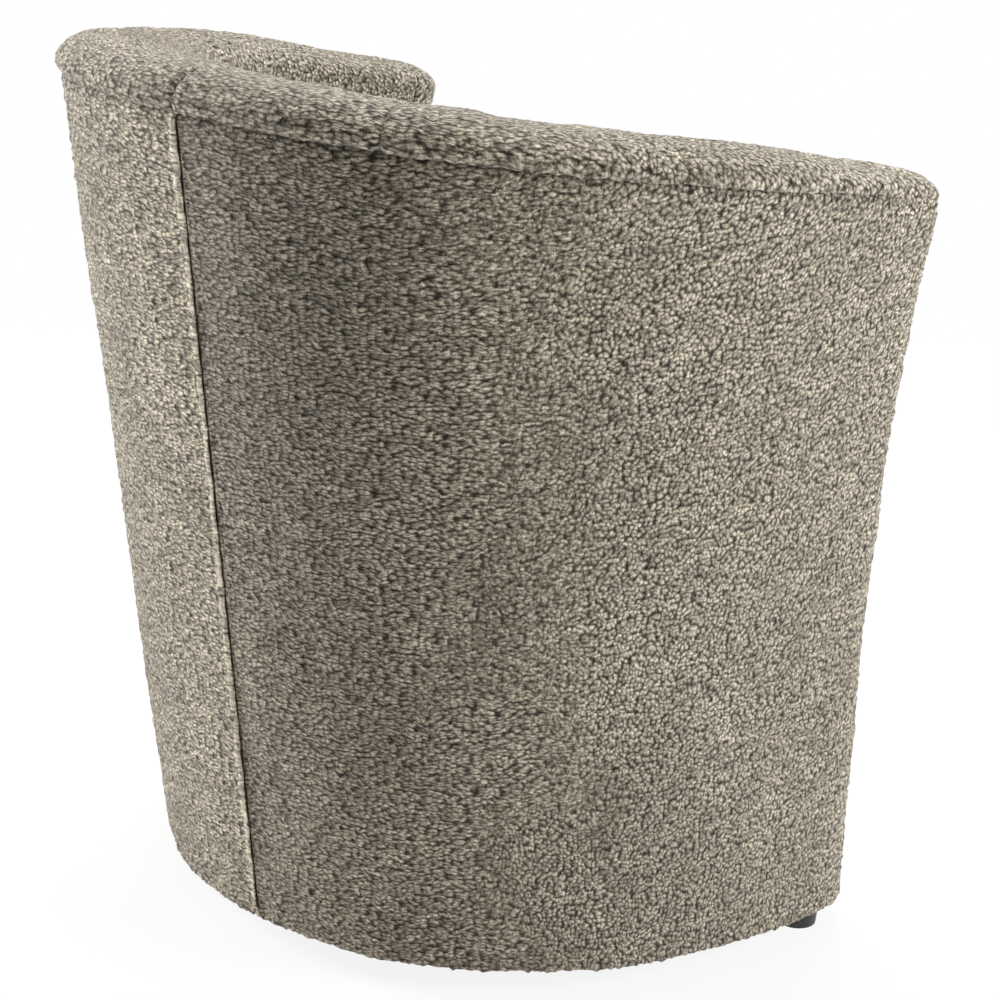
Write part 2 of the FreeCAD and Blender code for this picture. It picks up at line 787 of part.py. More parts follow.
def build_seat():
    cover, gap = size("cover_thickness"), size("layer_gap")
    outside = feature("seat_outside", loft([seat_wire(*level) for level in seat_profile(0.0)]))
    inside = feature("seat_inside", loft([seat_wire(*level) for level in seat_profile(cover)]))
    sub_part(boolean("Cut", "seat_cover", outside, inside), "seat_cover")
    filling = loft([seat_wire(*level) for level in seat_profile(cover + gap)])
    sub_part(feature("seat_foam", filling), "seat_foam")
    low = size("deck_height") - size("pad_thickness") - gap
    face = Part.Face(seat_wire(size("pad_margin"), low, size("border_front") - size("pad_nose")))
    sub_part(prism("felt_pad", face, "Sizes.pad_thickness"), "felt_pad")


def strap_profile(ends, crossings, over_first, middle, swing):
    """Side line of a strap that dips under and over the straps it crosses."""
    start, end = ends
    flat = size("strap_width") / 2 + size("strap_ease")
    line = [(start, middle - swing), (start + size("strap_ease"), middle - swing)]
    for index, place in enumerate(crossings):
        over = (index % 2 == 0) == over_first
        level = middle + swing if over else middle - swing
        line += [(place - flat, level), (place + flat, level)]
    line += [(end - size("strap_ease"), middle - swing), (end, middle - swing)]
    half = size("strap_thickness") / 2
    upper = [(a, z + half) for a, z in line]
    lower = [(a, z - half) for a, z in reversed(line)]
    return upper + lower


def inner_line_y(x, z, depth):
    """Where the wall's inset line, behind the seat, crosses a given x."""
    share = share_at(0.0, z)
    line = half_outline(share, depth, wrap_line(), [step / 200 for step in range(201)])
    for (ax, ay, _, _), (bx, by, _, _) in zip(line, line[1:]):
        if ax <= abs(x) <= bx:
            return mix(ay, by, (abs(x) - ax) / (bx - ax))
    raise ValueError("the strap lies outside the tub")


def inner_line_x(y, z, depth):
    """Where the wall's inset line, beside the seat, crosses a given y."""
    share = share_at(y, z)
    line = half_outline(share, depth, wrap_line(), [step / 200 for step in range(201)])
    for (ax, ay, _, _), (bx, by, _, _) in zip(line, line[1:]):
        if ay >= y >= by:
            return mix(ax, bx, (ay - y) / (ay - by))
    raise ValueError("the strap lies outside the tub")


def build_webbing():
    gap, thickness = size("layer_gap"), size("strap_thickness")
    swing = (thickness + gap) / 2
    middle = rail_top() + gap + thickness / 2 + swing
    width, ease, hold = size("strap_width"), size("strap_ease"), size("strap_end_inset")
    room = width / 2 + 2 * ease + gap
    side = STRAP_COLUMNS // 2
    pitch = inner_line_x(0.0, rail_top(), hold) / (side + STRAP_SIDE_ROOM)
    columns = [pitch * k for k in range(-side, side + 1)]
    last_row = inner_line_y(columns[-1] + room, rail_top(), hold) - room
    first_row = wrap_line() + room
    rows = [mix(first_row, last_row, k / (STRAP_ROWS - 1)) for k in range(STRAP_ROWS)]
    padding = size("cover_thickness") + size("front_foam") + 4 * gap
    bow = border_radius(BOARD_TOP_SHARE) - padding
    bow_centre = border_radius() - size("border_front")
    for index, x in enumerate(columns):
        front = bow_centre - math.sqrt(bow * bow - (abs(x) + width / 2) ** 2)
        back = inner_line_y(abs(x) + width / 2, rail_top(), hold)
        outline = strap_profile((front, back), rows, index % 2 == 0, middle, swing)
        face = Part.Face(polygon([Vector(x - width / 2, y, z) for y, z in outline]))
        add_strap(f"webbing_long_{index + 1}", face, Vector(1, 0, 0))
    for index, y in enumerate(rows):
        reach = inner_line_x(y + width / 2, rail_top(), hold)
        outline = strap_profile((-reach, reach), columns, index % 2 == 1, middle, swing)
        face = Part.Face(polygon([Vector(a, y - width / 2, z) for a, z in outline]))
        add_strap(f"webbing_cross_{index + 1}", face, Vector(0, 1, 0))


def add_strap(name, face, direction):
    strap = doc.addObject("Part::Extrusion", name)
    strap.Base = feature(name + "_side", face)
    strap.DirMode = "Custom"
    strap.Dir = direction
    strap.Solid = True
    bind(strap, LengthFwd="Sizes.strap_width")
    sub_part(strap, name)


# Feet and fasteners
def build_foot(name, x, y):
    """Tapered round stub with a blind bore for its stud, turned about its own axis."""
    body = doc.addObject("PartDesign::Body", f"foot_{name}")
    upright = [plane for plane in body.Origin.OriginFeatures if plane.Role == "XZ_Plane"][0]
    axis = [line for line in body.Origin.OriginFeatures if line.Role == "Z_Axis"][0]
    sketch = body.newObject("Sketcher::SketchObject", f"foot_{name}_profile")
    sketch.AttachmentSupport = [(upright, "")]
    sketch.MapMode = "FlatFace"
    top, bottom = size("foot_top_diameter") / 2, size("foot_bottom_diameter") / 2
    tall, bore = size("foot_height"), size("stud_diameter") / 2
    floor = tall - size("stud_depth")
    corners = [(0, 0), (bottom, 0), (top, tall), (bore, tall), (bore, floor), (0, floor)]
    for (ax, ay), (bx, by) in zip(corners, corners[1:] + corners[:1]):
        sketch.addGeometry(Part.LineSegment(Vector(ax, ay, 0), Vector(bx, by, 0)), False)
    count = len(corners)
    for index in range(count):
        sketch.addConstraint(Sketcher.Constraint("Coincident", index, 2, (index + 1) % count, 1))
    sketch.addConstraint(Sketcher.Constraint("Coincident", 0, 1, -1, 1))
    for index in (0, 2, 4):
        sketch.addConstraint(Sketcher.Constraint("Horizontal", index))
    for index in (3, 5):
        sketch.addConstraint(Sketcher.Constraint("Vertical", index))
    index = sketch.addConstraint(Sketcher.Constraint("DistanceX", 0, 1, 0, 2, bottom))
    sketch.setExpression(f"Constraints[{index}]", "Sizes.foot_bottom_diameter / 2")
    index = sketch.addConstraint(Sketcher.Constraint("DistanceX", -1, 1, 1, 2, top))
    sketch.setExpression(f"Constraints[{index}]", "Sizes.foot_top_diameter / 2")
    index = sketch.addConstraint(Sketcher.Constraint("DistanceY", -1, 1, 1, 2, tall))
    sketch.setExpression(f"Constraints[{index}]", "Sizes.foot_height")
    index = sketch.addConstraint(Sketcher.Constraint("DistanceX", -1, 1, 3, 1, bore))
    sketch.setExpression(f"Constraints[{index}]", "(Sizes.stud_diameter + Sizes.layer_gap) / 2")
    index = sketch.addConstraint(Sketcher.Constraint("DistanceY", 3, 2, 3, 1, tall - floor))
    sketch.setExpression(f"Constraints[{index}]", "Sizes.stud_depth")
    turned = body.newObject("PartDesign::Revolution", f"foot_{name}_turned")
    turned.Profile = sketch
    turned.ReferenceAxis = (axis, [""])
    turned.Angle = 360
    body.Tip = turned
    body.Placement = Placement(Vector(x, y, 0), Rotation())
    sub_part(body, f"foot_{name}")


def build_fasteners():
    studs, nuts, screws = [], [], []
    low = size("foot_height") - size("stud_depth")
    nut_low = ring_bottom() + size("layer_gap")
    flange_low = ring_top() - size("nut_flange_thickness")
    for name, x, y in foot_places():
        build_foot(name, x, y)
        length = "Sizes.stud_depth + Sizes.dust_cover_thickness + Sizes.ply_thickness - Sizes.layer_gap"
        studs.append(cylinder(f"stud_{name}", "Sizes.stud_diameter", length, x, y, low))
        grip = "Sizes.ply_thickness - Sizes.layer_gap"
        barrel = cylinder(f"barrel_{name}", "Sizes.nut_barrel_diameter", grip, x, y, nut_low)
        flange = cylinder(
            f"flange_{name}", "Sizes.nut_flange_diameter", "Sizes.nut_flange_thickness", x, y, flange_low
        )
        bore = cylinder(
            f"thread_{name}", "Sizes.stud_diameter + Sizes.layer_gap", "Sizes.deck_height", x, y, 0
        )
        blank = boolean("Fuse", f"nut_blank_{name}", barrel, flange)
        nuts.append(boolean("Cut", f"nut_{name}", blank, bore))
    for name, fraction in post_places():
        place = post_centre(fraction)
        at = (place.x, place.y, ring_bottom())
        shank = cylinder(f"shank_{name}", "Sizes.screw_diameter", "Sizes.screw_length", *at)
        head = cylinder(f"head_{name}", "Sizes.screw_head_diameter", "Sizes.screw_head_height", *at)
        screws.append(boolean("Fuse", f"screw_{name}", shank, head))
    sub_part(compound("foot_studs", studs), "foot_studs")
    sub_part(compound("tee_nuts", nuts), "tee_nuts")
    sub_part(compound("post_screws", screws), "post_screws")


build_upholstery()
build_base()
build_posts()
build_seat_ring()
build_top_rail()
build_arm_panels()
build_boards()
build_border()
build_seat()
build_webbing()
build_fasteners()
doc.recompute()

for obj in doc.Objects:
    if "Invalid" in obj.State or "Error" in obj.State:
        raise RuntimeError(f"{obj.Label}: {obj.State}")
for obj in parts:
    if obj.Shape.isNull() or not obj.Shape.isValid():
        raise RuntimeError(f"{obj.Label}: shape is null or not valid")

os.makedirs("parts", exist_ok=True)
for obj in parts:
    obj.Shape.exportStep(f"parts/{obj.Label}.step")
    print(obj.Label, len(obj.Shape.Solids), round(obj.Shape.Volume / 1000, 1))
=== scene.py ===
import json
import math

import bpy
import numpy as np
from mathutils import Matrix, Vector


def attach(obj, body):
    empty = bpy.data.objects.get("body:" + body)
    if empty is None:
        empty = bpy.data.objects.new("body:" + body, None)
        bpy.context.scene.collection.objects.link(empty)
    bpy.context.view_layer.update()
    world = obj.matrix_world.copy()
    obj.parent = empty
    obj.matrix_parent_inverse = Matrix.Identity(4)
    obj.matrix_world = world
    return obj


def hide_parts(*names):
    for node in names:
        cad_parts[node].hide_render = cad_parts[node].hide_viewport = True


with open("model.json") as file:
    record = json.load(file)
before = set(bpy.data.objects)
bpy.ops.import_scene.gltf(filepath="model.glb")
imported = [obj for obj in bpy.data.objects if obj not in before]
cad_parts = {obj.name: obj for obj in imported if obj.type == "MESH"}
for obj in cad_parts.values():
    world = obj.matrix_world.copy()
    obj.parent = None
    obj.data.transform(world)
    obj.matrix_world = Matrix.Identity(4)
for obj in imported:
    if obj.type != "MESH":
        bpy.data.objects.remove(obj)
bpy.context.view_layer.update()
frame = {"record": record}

# Sizes of the tub in millimetres, as in the part
HEM = 22.0
BASE_HALF_WIDTH = 320.0
RIM_HALF_WIDTH = 342.0
BASE_BACK = 225.0
RIM_BACK = 283.0
BASE_ROUND = 349.0
RIM_ROUND = 360.0
BASE_POWER = 2.1
RIM_POWER = 2.3
BASE_FRONT = 158.0
RIM_FRONT = 240.0
RIM_TOE = 10.0
FRONT_LEAN = 0.26
FRONT_SWEEP = 3.5
SEAM_FRONT = 604.0
SEAM_BACK = 712.0
BASE_WALL = 106.0
RIM_WALL = 98.0
RIM_HEIGHT = 31.0
RIM_ROLL = 36.0
CORNER = 42.0
DECK = 300.0
BORDER_FRONT = 262.0
FRONT_WRAP = 40.0
BORDER_HALF = BASE_HALF_WIDTH - BASE_WALL - 2.5
BORDER_BULGE = BORDER_FRONT - BASE_FRONT + FRONT_WRAP
BORDER_RADIUS = (BORDER_HALF ** 2 + BORDER_BULGE ** 2) / (2 * BORDER_BULGE)
BORDER_CENTRE = BORDER_RADIUS - BORDER_FRONT
BORDER_FLARE = (RIM_HALF_WIDTH - BASE_HALF_WIDTH + BASE_WALL - RIM_WALL) * 0.5
SEAT_FRONT = 288.0
SEAT_HEIGHT = 440.0
SEAT_GAP = 2.0
WALL_RISE = SEAM_BACK - HEM

# Lie of the cloth that the part leaves out: bowed rim seam, drooping crest and eased arm ends
SEAM_BOW_POWER = 0.81
CREST_DROOP = 11.0
DROOP_START = -30.0
DROOP_LENGTH = 150.0
ARM_ROUND = 3.6

# Cloth build in millimetres, and the rim's cross seams as distances from the centre back
STEP = 4.0
CLOTH = 1.2
SEAM_1 = 187.0
SEAM_2 = 412.0
MM = 0.001

# Turns of the rolled rim, from the seam to the crest
QUARTER = math.pi / 2
ROLL_STEPS = 12
ROLL_ANGLES = [QUARTER * k / ROLL_STEPS for k in range(1, ROLL_STEPS + 1)]


def mix(low, high, share):
    return low + (high - low) * share


def ease(x):
    x = np.clip(x, 0.0, 1.0)
    return x * x * (3 - 2 * x)


def fade_out(x, start, length):
    """1 up to the start, easing to 0 over the length that follows."""
    return 1 - ease((x - start) / length)


def bell(x, width):
    return np.exp(-((x / width) ** 2))


# Heights, plan line and wall of the tub, at a share of the height from hem to rim seam
ROUND_POINTS = 600
STRAIGHT_POINTS = 300
NORMAL_REACH = 2.0


def seam_height(y):
    share = np.clip((y + RIM_FRONT) / (RIM_BACK + RIM_FRONT), 0.0, 1.0)
    return mix(SEAM_FRONT, SEAM_BACK, share ** SEAM_BOW_POWER)


def crest_height(y):
    share = (y + RIM_FRONT) / (RIM_BACK + RIM_FRONT)
    droop = CREST_DROOP * ease((DROOP_START - y) / DROOP_LENGTH)
    return mix(SEAM_FRONT, SEAM_BACK, share) + RIM_HEIGHT - droop


def front_line(share):
    sweep = FRONT_LEAN * share + (1 - FRONT_LEAN) * share ** FRONT_SWEEP
    return -mix(BASE_FRONT, RIM_FRONT, sweep)


def wall(share):
    return mix(BASE_WALL, RIM_WALL, share)


def raised(y, share):
    return mix(HEM, seam_height(y), share)


def dense_line(share):
    """Closely spaced points of the +X half, from the centre back to the arm's front."""
    width = mix(BASE_HALF_WIDTH, RIM_HALF_WIDTH, share)
    depth = mix(BASE_ROUND, RIM_ROUND, share)
    power = mix(BASE_POWER, RIM_POWER, share)
    centre = mix(BASE_BACK, RIM_BACK, share) - depth
    angle = np.linspace(0, QUARTER, ROUND_POINTS)
    x = width * np.sin(angle) ** (2 / power)
    y = centre + depth * np.cos(angle) ** (2 / power)
    along = np.linspace(0, 1, STRAIGHT_POINTS)[1:]
    x = np.concatenate([x, width - RIM_TOE * share * share * along * along])
    y = np.concatenate([y, mix(centre, front_line(share), along)])
    return x, y


def line_at(share, fractions):
    """Points and outward normals at fractions of the line up to the arm's corner, and its length."""
    x, y = dense_line(share)
    stop = front_line(share) + CORNER
    keep = y >= stop
    edge = np.interp(-stop, -y, x)
    x = np.append(x[keep], edge)
    y = np.append(y[keep], stop)
    length = np.concatenate([[0.0], np.cumsum(np.hypot(np.diff(x), np.diff(y)))])
    target = np.asarray(fractions) * length[-1]
    px = np.interp(target, length, x)
    py = np.interp(target, length, y)
    ahead = np.clip(target + NORMAL_REACH, 0, length[-1])
    behind = target - NORMAL_REACH
    ax = np.interp(ahead, length, x)
    ay = np.interp(ahead, length, y)
    bx = np.sign(behind) * np.interp(np.abs(behind), length, x)
    by = np.interp(np.abs(behind), length, y)
    run = np.hypot(ax - bx, ay - by)
    return px, py, -(ay - by) / run, (ax - bx) / run, length[-1]


def arm_end(share):
    """The point where the line meets the arm's corner, and its outward normal."""
    x, y, nx, ny, _ = line_at(share, [1.0])
    return float(x[0]), float(y[0]), float(nx[0]), float(ny[0])


def mirrored(x, y):
    """Closed plan line from its +X half, which starts and ends on the centre plane."""
    return np.concatenate([x, -x[-2:0:-1]]), np.concatenate([y, y[-2:0:-1]])


RIM_LENGTH = line_at(1.0, [0.0])[4]


# Mesh helpers: most cloth pieces are grids of points with their own cloth coordinates
WAVES = 9
BROAD_WAVE = 170.0
SHORT_WAVE = 60.0
SHORT_SHARE = 0.35
LOFT = 0.6


def grid_normals(points):
    """Unit normals of a grid of points, out of the padding."""
    down = np.gradient(points, axis=0)
    along = np.gradient(points, axis=1)
    normal = np.cross(down, along)
    return normal / np.maximum(np.linalg.norm(normal, axis=2, keepdims=True), 1e-9)


def ripple(u, v, seed, wave):
    """Smooth unit noise: a few sine waves in seeded directions."""
    rng = np.random.default_rng(seed)
    total = np.zeros_like(u)
    for _ in range(WAVES):
        turn = rng.uniform(0, math.pi)
        length = wave * rng.uniform(0.6, 1.6)
        phase = rng.uniform(0, 2 * math.pi)
        total += np.sin((u * math.cos(turn) + v * math.sin(turn)) * 2 * math.pi / length + phase)
    return total / math.sqrt(WAVES)


def knobbly(points, u, v, seed, soft=0.7, fine=0.62):
    """Pushes a grid in and out along its normals, as tufted cloth over padding lies."""
    rng = np.random.default_rng(seed)
    push = soft * ripple(u, v, seed, BROAD_WAVE)
    push = push + SHORT_SHARE * soft * ripple(u, v, seed + 1, SHORT_WAVE)
    push += fine * rng.normal(size=u.shape) + LOFT * soft
    return points + grid_normals(points) * push[..., None]


def numbered(rows, columns, start=0):
    """Point numbers of a grid, row by row."""
    return start + np.arange(rows * columns).reshape(rows, columns)


def grid_faces(index):
    """Quads between the neighbours in a grid of point numbers."""
    quads = np.stack([index[:-1, :-1], index[:-1, 1:], index[1:, 1:], index[1:, :-1]], axis=-1)
    return quads.reshape(-1, 4)


def ring_faces(rings, count):
    """Quads between closed rings with the same count of points."""
    index = numbered(rings, count)
    ahead = np.roll(index, -1, axis=1)
    quads = np.stack([index[:-1], ahead[:-1], ahead[1:], index[1:]], axis=-1)
    return quads.reshape(-1, 4).tolist()


def cloth_layer(u, v, seed):
    """Cloth coordinates of each point, with the seed to set the pieces apart."""
    return np.stack([np.ravel(u), np.ravel(v), np.full(np.size(u), float(seed))], axis=1)


def write_cloth(mesh, cloth, painted_shading):
    """Stores the cloth coordinates and the painted light and shade that the chenille reads."""
    layer = mesh.attributes.new("cloth", "FLOAT_VECTOR", "POINT")
    layer.data.foreach_set("vector", np.ascontiguousarray(cloth, dtype=np.float32).ravel())
    layer = mesh.attributes.new("painted_shading", "FLOAT", "POINT")
    layer.data.foreach_set("value", np.ascontiguousarray(painted_shading, dtype=np.float32).ravel())


def make_mesh(name, points, faces, cloth=None, painted_shading=None):
    mesh = bpy.data.meshes.new(name)
    mesh.from_pydata((np.asarray(points) * MM).tolist(), [], [list(face) for face in faces])
    mesh.validate()
    mesh.shade_smooth()
    if cloth is not None:
        write_cloth(mesh, cloth, painted_shading)
    obj = bpy.data.objects.new(name, mesh)
    bpy.context.scene.collection.objects.link(obj)
    return obj


def build_side(name, side, points, faces, cloth, painted_shading):
    """Makes a piece for one side of the chair from points of the +X side."""
    word = "left" if side > 0 else "right"
    points = points.copy()
    points[:, 0] *= side
    if side < 0:
        faces = faces[:, ::-1]
    return make_mesh(f"{name}_{word}", points, faces, cloth, painted_shading)


def thicken(obj):
    mod = obj.modifiers.new("cloth", "SOLIDIFY")
    mod.thickness = CLOTH * MM
    mod.offset = -1.0
    mod.use_even_offset = False


def finish_piece(obj, material, nodes):
    obj.data.materials.append(material)
    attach(obj, "root")
    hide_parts(*nodes)


# Node helpers
def new_material(name):
    material = bpy.data.materials.new(name)
    material.use_nodes = True
    tree = material.node_tree
    shader = tree.nodes["Principled BSDF"]
    return material, tree, shader


def node(tree, kind, **settings):
    """A new node; a setting whose name starts with in_ goes to the input of that name."""
    made = tree.nodes.new(kind)
    for key, value in settings.items():
        if key.startswith("in_"):
            made.inputs[key[3:].replace("_", " ")].default_value = value
        else:
            setattr(made, key, value)
    return made


def maths(tree, operation, first, second=None, third=None):
    made = tree.nodes.new("ShaderNodeMath")
    made.operation = operation
    for index, value in enumerate((first, second, third)):
        if value is None:
            continue
        if isinstance(value, (int, float)):
            made.inputs[index].default_value = value
        else:
            tree.links.new(value, made.inputs[index])
    return made.outputs[0]


def scaled(tree, value, gain, offset):
    return maths(tree, "MULTIPLY_ADD", value, gain, offset)


def blended(tree, first, second, share):
    return scaled(tree, first, share, maths(tree, "MULTIPLY", second, 1 - share))


def vector_maths(tree, operation, first, second):
    made = tree.nodes.new("ShaderNodeVectorMath")
    made.operation = operation
    for index, value in enumerate((first, second)):
        if isinstance(value, tuple):
            made.inputs[index].default_value = value
        else:
            tree.links.new(value, made.inputs[index])
    return made.outputs[0]


def ramp(tree, factor, stops):
    made = tree.nodes.new("ShaderNodeValToRGB")
    elements = made.color_ramp.elements
    while len(elements) < len(stops):
        elements.new(0.5)
    for element, (place, colour) in zip(elements, stops):
        element.position = place
        element.color = (*colour, 1.0)
    tree.links.new(factor, made.inputs["Fac"])
    return made.outputs["Color"]


def noise(tree, vector, scale, detail=2.0, roughness=0.5):
    made = node(tree, "ShaderNodeTexNoise", in_Scale=scale, in_Detail=detail, in_Roughness=roughness)
    tree.links.new(vector, made.inputs["Vector"])
    return made


def wandering(tree, vector, scale, amount):
    """Offsets that wander over the cloth, by up to half the amount either way."""
    field = noise(tree, vector, scale, detail=1.0).outputs["Color"]
    offset = vector_maths(tree, "SUBTRACT", field, (0.5, 0.5, 0.5))
    return vector_maths(tree, "MULTIPLY", offset, amount)


def mix_colour(tree, blend, factor, first, second):
    made = tree.nodes.new("ShaderNodeMix")
    made.data_type = "RGBA"
    made.blend_type = blend
    if isinstance(factor, float):
        made.inputs[0].default_value = factor
    else:
        tree.links.new(factor, made.inputs[0])
    tree.links.new(first, made.inputs[6])
    tree.links.new(second, made.inputs[7])
    return made.outputs[2]


def tinted(tree, base, tint):
    return mix_colour(tree, "MULTIPLY", 1.0, base, tint)


def mix_shaders(tree, factor, first, second):
    made = tree.nodes.new("ShaderNodeMixShader")
    for index, socket in enumerate((factor, first, second)):
        tree.links.new(socket, made.inputs[index])
    return made.outputs[0]


def bump(tree, shader, height, distance, strength):
    made = node(tree, "ShaderNodeBump", in_Strength=strength, in_Distance=distance)
    tree.links.new(height, made.inputs["Height"])
    tree.links.new(made.outputs["Normal"], shader.inputs["Normal"])


def object_place(tree):
    return node(tree, "ShaderNodeTexCoord").outputs["Object"]


# Taupe chenille: round tufts toward the arms and long ones near the centre back, in millimetres
TUFTS = ((3.8, 3.2), (6.9, 2.35))
TUFT_ROUNDNESS = 1.6
DRIFT = (9.0, 9.0, 0.0)
SHAKE = (3.8, 2.4, 0.0)
COMBED = (0.024, 0.13, 1.0)
# Painted light above this level is a painted highlight, which also lightens the gaps between tufts
HIGHLIGHT_FROM = 1.45
# Tuft colours by height: the darkest stops are painted shade in the gaps between tufts
TUFT_COLOURS_GAP_SHADE = (
    (0.36, (0.008, 0.006, 0.0033)),
    (0.56, (0.066, 0.055, 0.037)),
    (0.76, (0.215, 0.188, 0.142)),
    (0.98, (0.53, 0.485, 0.402)),
)
SINGLE_TONES = ((0.1, (0.62, 0.61, 0.59)), (0.9, (1.42, 1.42, 1.43)))
NAP_TONES = ((0.3, (0.86, 0.85, 0.84)), (0.7, (1.12, 1.12, 1.12)))
BRUSHED_TONES = ((0.3, (0.78, 0.77, 0.76)), (0.7, (1.16, 1.16, 1.16)))


def chenille_tufts(tree, cloth, place):
    """Height and single tone of the tufts, which grow longer toward the centre back."""
    axes = node(tree, "ShaderNodeSeparateXYZ")
    tree.links.new(cloth, axes.inputs[0])
    reach = maths(tree, "ABSOLUTE", axes.outputs["X"])
    zone = noise(tree, cloth, scale=0.008, detail=2.0).outputs["Fac"]
    zone = scaled(tree, zone, 3.0, scaled(tree, reach, gain=-0.006, offset=0.9))
    weight = maths(tree, "MAXIMUM", maths(tree, "MINIMUM", zone, 1.0), 0.0)
    blend = node(tree, "ShaderNodeMix", data_type="FLOAT")
    tree.links.new(weight, blend.inputs[0])
    tones = []
    for index, (width, depth) in enumerate(TUFTS):
        sized = vector_maths(tree, "DIVIDE", place, (width, depth, 1.0))
        cells = node(
            tree, "ShaderNodeTexVoronoi", voronoi_dimensions="2D", in_Scale=1.0, in_Randomness=0.9
        )
        tree.links.new(sized, cells.inputs["Vector"])
        gap = maths(tree, "POWER", cells.outputs["Distance"], TUFT_ROUNDNESS)
        tree.links.new(maths(tree, "SUBTRACT", 1.0, gap), blend.inputs[2 + index])
        tones.append(cells.outputs["Color"])
    split = node(tree, "ShaderNodeSeparateColor")
    tree.links.new(mix_colour(tree, "MIX", weight, *tones), split.inputs[0])
    return blend.outputs[0], split.outputs[0]


def chenille():
    material, tree, shader = new_material("chenille")
    cloth = node(tree, "ShaderNodeAttribute", attribute_name="cloth").outputs["Vector"]
    drift = wandering(tree, cloth, 0.03, DRIFT)
    shake = wandering(tree, cloth, 0.22, SHAKE)
    place = vector_maths(tree, "ADD", vector_maths(tree, "ADD", cloth, drift), shake)
    tuft, single = chenille_tufts(tree, cloth, place)

    # Fluff and fibres roughen the tufts, and where the painted highlight is strongest the tufts' dark
    # gaps fill in
    fluff = noise(tree, cloth, scale=0.33, detail=2.0, roughness=0.6).outputs["Fac"]
    fibres = noise(tree, cloth, scale=0.9, detail=3.0, roughness=0.65).outputs["Fac"]
    body = maths(tree, "ADD", tuft, scaled(tree, fluff, gain=0.7, offset=-0.33))
    body = maths(tree, "ADD", body, scaled(tree, fibres, gain=0.7, offset=-0.35))
    # Painted light and shade of each piece, stored on its points
    painted_level = node(tree, "ShaderNodeAttribute", attribute_name="painted_shading").outputs["Fac"]
    painted_highlight = maths(tree, "MAXIMUM", maths(tree, "SUBTRACT", painted_level, HIGHLIGHT_FROM), 0.0)
    body = scaled(tree, painted_highlight, 0.5, body)

    # Colour: tuft by tuft, then the piece's painted light and shade, the broad nap and brushed streaks
    base = tinted(tree, ramp(tree, body, TUFT_COLOURS_GAP_SHADE), ramp(tree, single, SINGLE_TONES))
    shade = node(tree, "ShaderNodeCombineColor")
    level = maths(tree, "MINIMUM", painted_level, HIGHLIGHT_FROM)
    for index in range(3):
        tree.links.new(level, shade.inputs[index])
    base = tinted(tree, base, shade.outputs[0])
    nap = noise(tree, cloth, scale=0.006, detail=3.0, roughness=0.55).outputs["Fac"]
    base = tinted(tree, base, ramp(tree, nap, NAP_TONES))
    combed = vector_maths(tree, "MULTIPLY", place, COMBED)
    streak = noise(tree, combed, scale=1.0, detail=2.0).outputs["Fac"]
    base = tinted(tree, base, ramp(tree, streak, BRUSHED_TONES))

    tree.links.new(base, shader.inputs["Base Color"])
    tree.links.new(scaled(tree, fluff, gain=0.16, offset=0.8), shader.inputs["Roughness"])
    shader.inputs["Specular IOR Level"].default_value = 0.18
    shader.inputs["Sheen Weight"].default_value = 0.6
    shader.inputs["Sheen Roughness"].default_value = 0.4
    shader.inputs["Sheen Tint"].default_value = (0.9, 0.85, 0.77, 1.0)
    bump(tree, shader, body, distance=0.0026, strength=0.9)
    return material


# Materials of the pieces that keep their solid
def wood(name, colours, grain, roughness, stretch, layers=0.0):
    material, tree, shader = new_material(name)
    place = object_place(tree)
    stretched = vector_maths(tree, "MULTIPLY", place, stretch)
    lines = noise(tree, stretched, grain, detail=6.0, roughness=0.6).outputs["Fac"]
    shade = lines
    if layers:
        plies = node(tree, "ShaderNodeTexWave", bands_direction="Z", in_Scale=layers, in_Distortion=0.6)
        tree.links.new(place, plies.inputs["Vector"])
        shade = blended(tree, plies.outputs["Fac"], lines, share=0.35)
    tree.links.new(ramp(tree, shade, colours), shader.inputs["Base Color"])
    tree.links.new(scaled(tree, lines, 0.18, roughness), shader.inputs["Roughness"])
    bump(tree, shader, lines, distance=0.0004, strength=0.4)
    return material


def matted(name, colours, scale, roughness, depth):
    material, tree, shader = new_material(name)
    place = object_place(tree)
    cells = noise(tree, place, scale, detail=5.0, roughness=0.7).outputs["Fac"]
    broad = noise(tree, place, scale * 0.04, detail=2.0).outputs["Fac"]
    shade = blended(tree, broad, cells, share=0.4)
    tree.links.new(ramp(tree, shade, colours), shader.inputs["Base Color"])
    tree.links.new(scaled(tree, cells, 0.15, roughness), shader.inputs["Roughness"])
    shader.inputs["Specular IOR Level"].default_value = 0.2
    bump(tree, shader, cells, depth, strength=0.7)
    return material


def woven(name, colours, scale):
    material, tree, shader = new_material(name)
    place = object_place(tree)
    threads = []
    for axis in ("X", "Y"):
        wave = node(tree, "ShaderNodeTexWave", bands_direction=axis, in_Scale=scale, in_Distortion=0.5)
        tree.links.new(place, wave.inputs["Vector"])
        threads.append(wave.outputs["Fac"])
    weave = maths(tree, "MULTIPLY", *threads)
    tree.links.new(ramp(tree, weave, colours), shader.inputs["Base Color"])
    tree.links.new(scaled(tree, weave, gain=0.2, offset=0.6), shader.inputs["Roughness"])
    bump(tree, shader, weave, distance=0.0005, strength=0.8)
    return material


def plated(name, colours):
    material, tree, shader = new_material(name)
    place = object_place(tree)
    spangle = node(tree, "ShaderNodeTexVoronoi", in_Scale=420.0)
    tree.links.new(place, spangle.inputs["Vector"])
    cloudy = noise(tree, place, scale=300.0, detail=4.0).outputs["Fac"]
    shade = blended(tree, spangle.outputs["Distance"], cloudy, share=0.4)
    tree.links.new(ramp(tree, shade, colours), shader.inputs["Base Color"])
    shader.inputs["Metallic"].default_value = 1.0
    tree.links.new(scaled(tree, cloudy, gain=0.25, offset=0.22), shader.inputs["Roughness"])
    return material


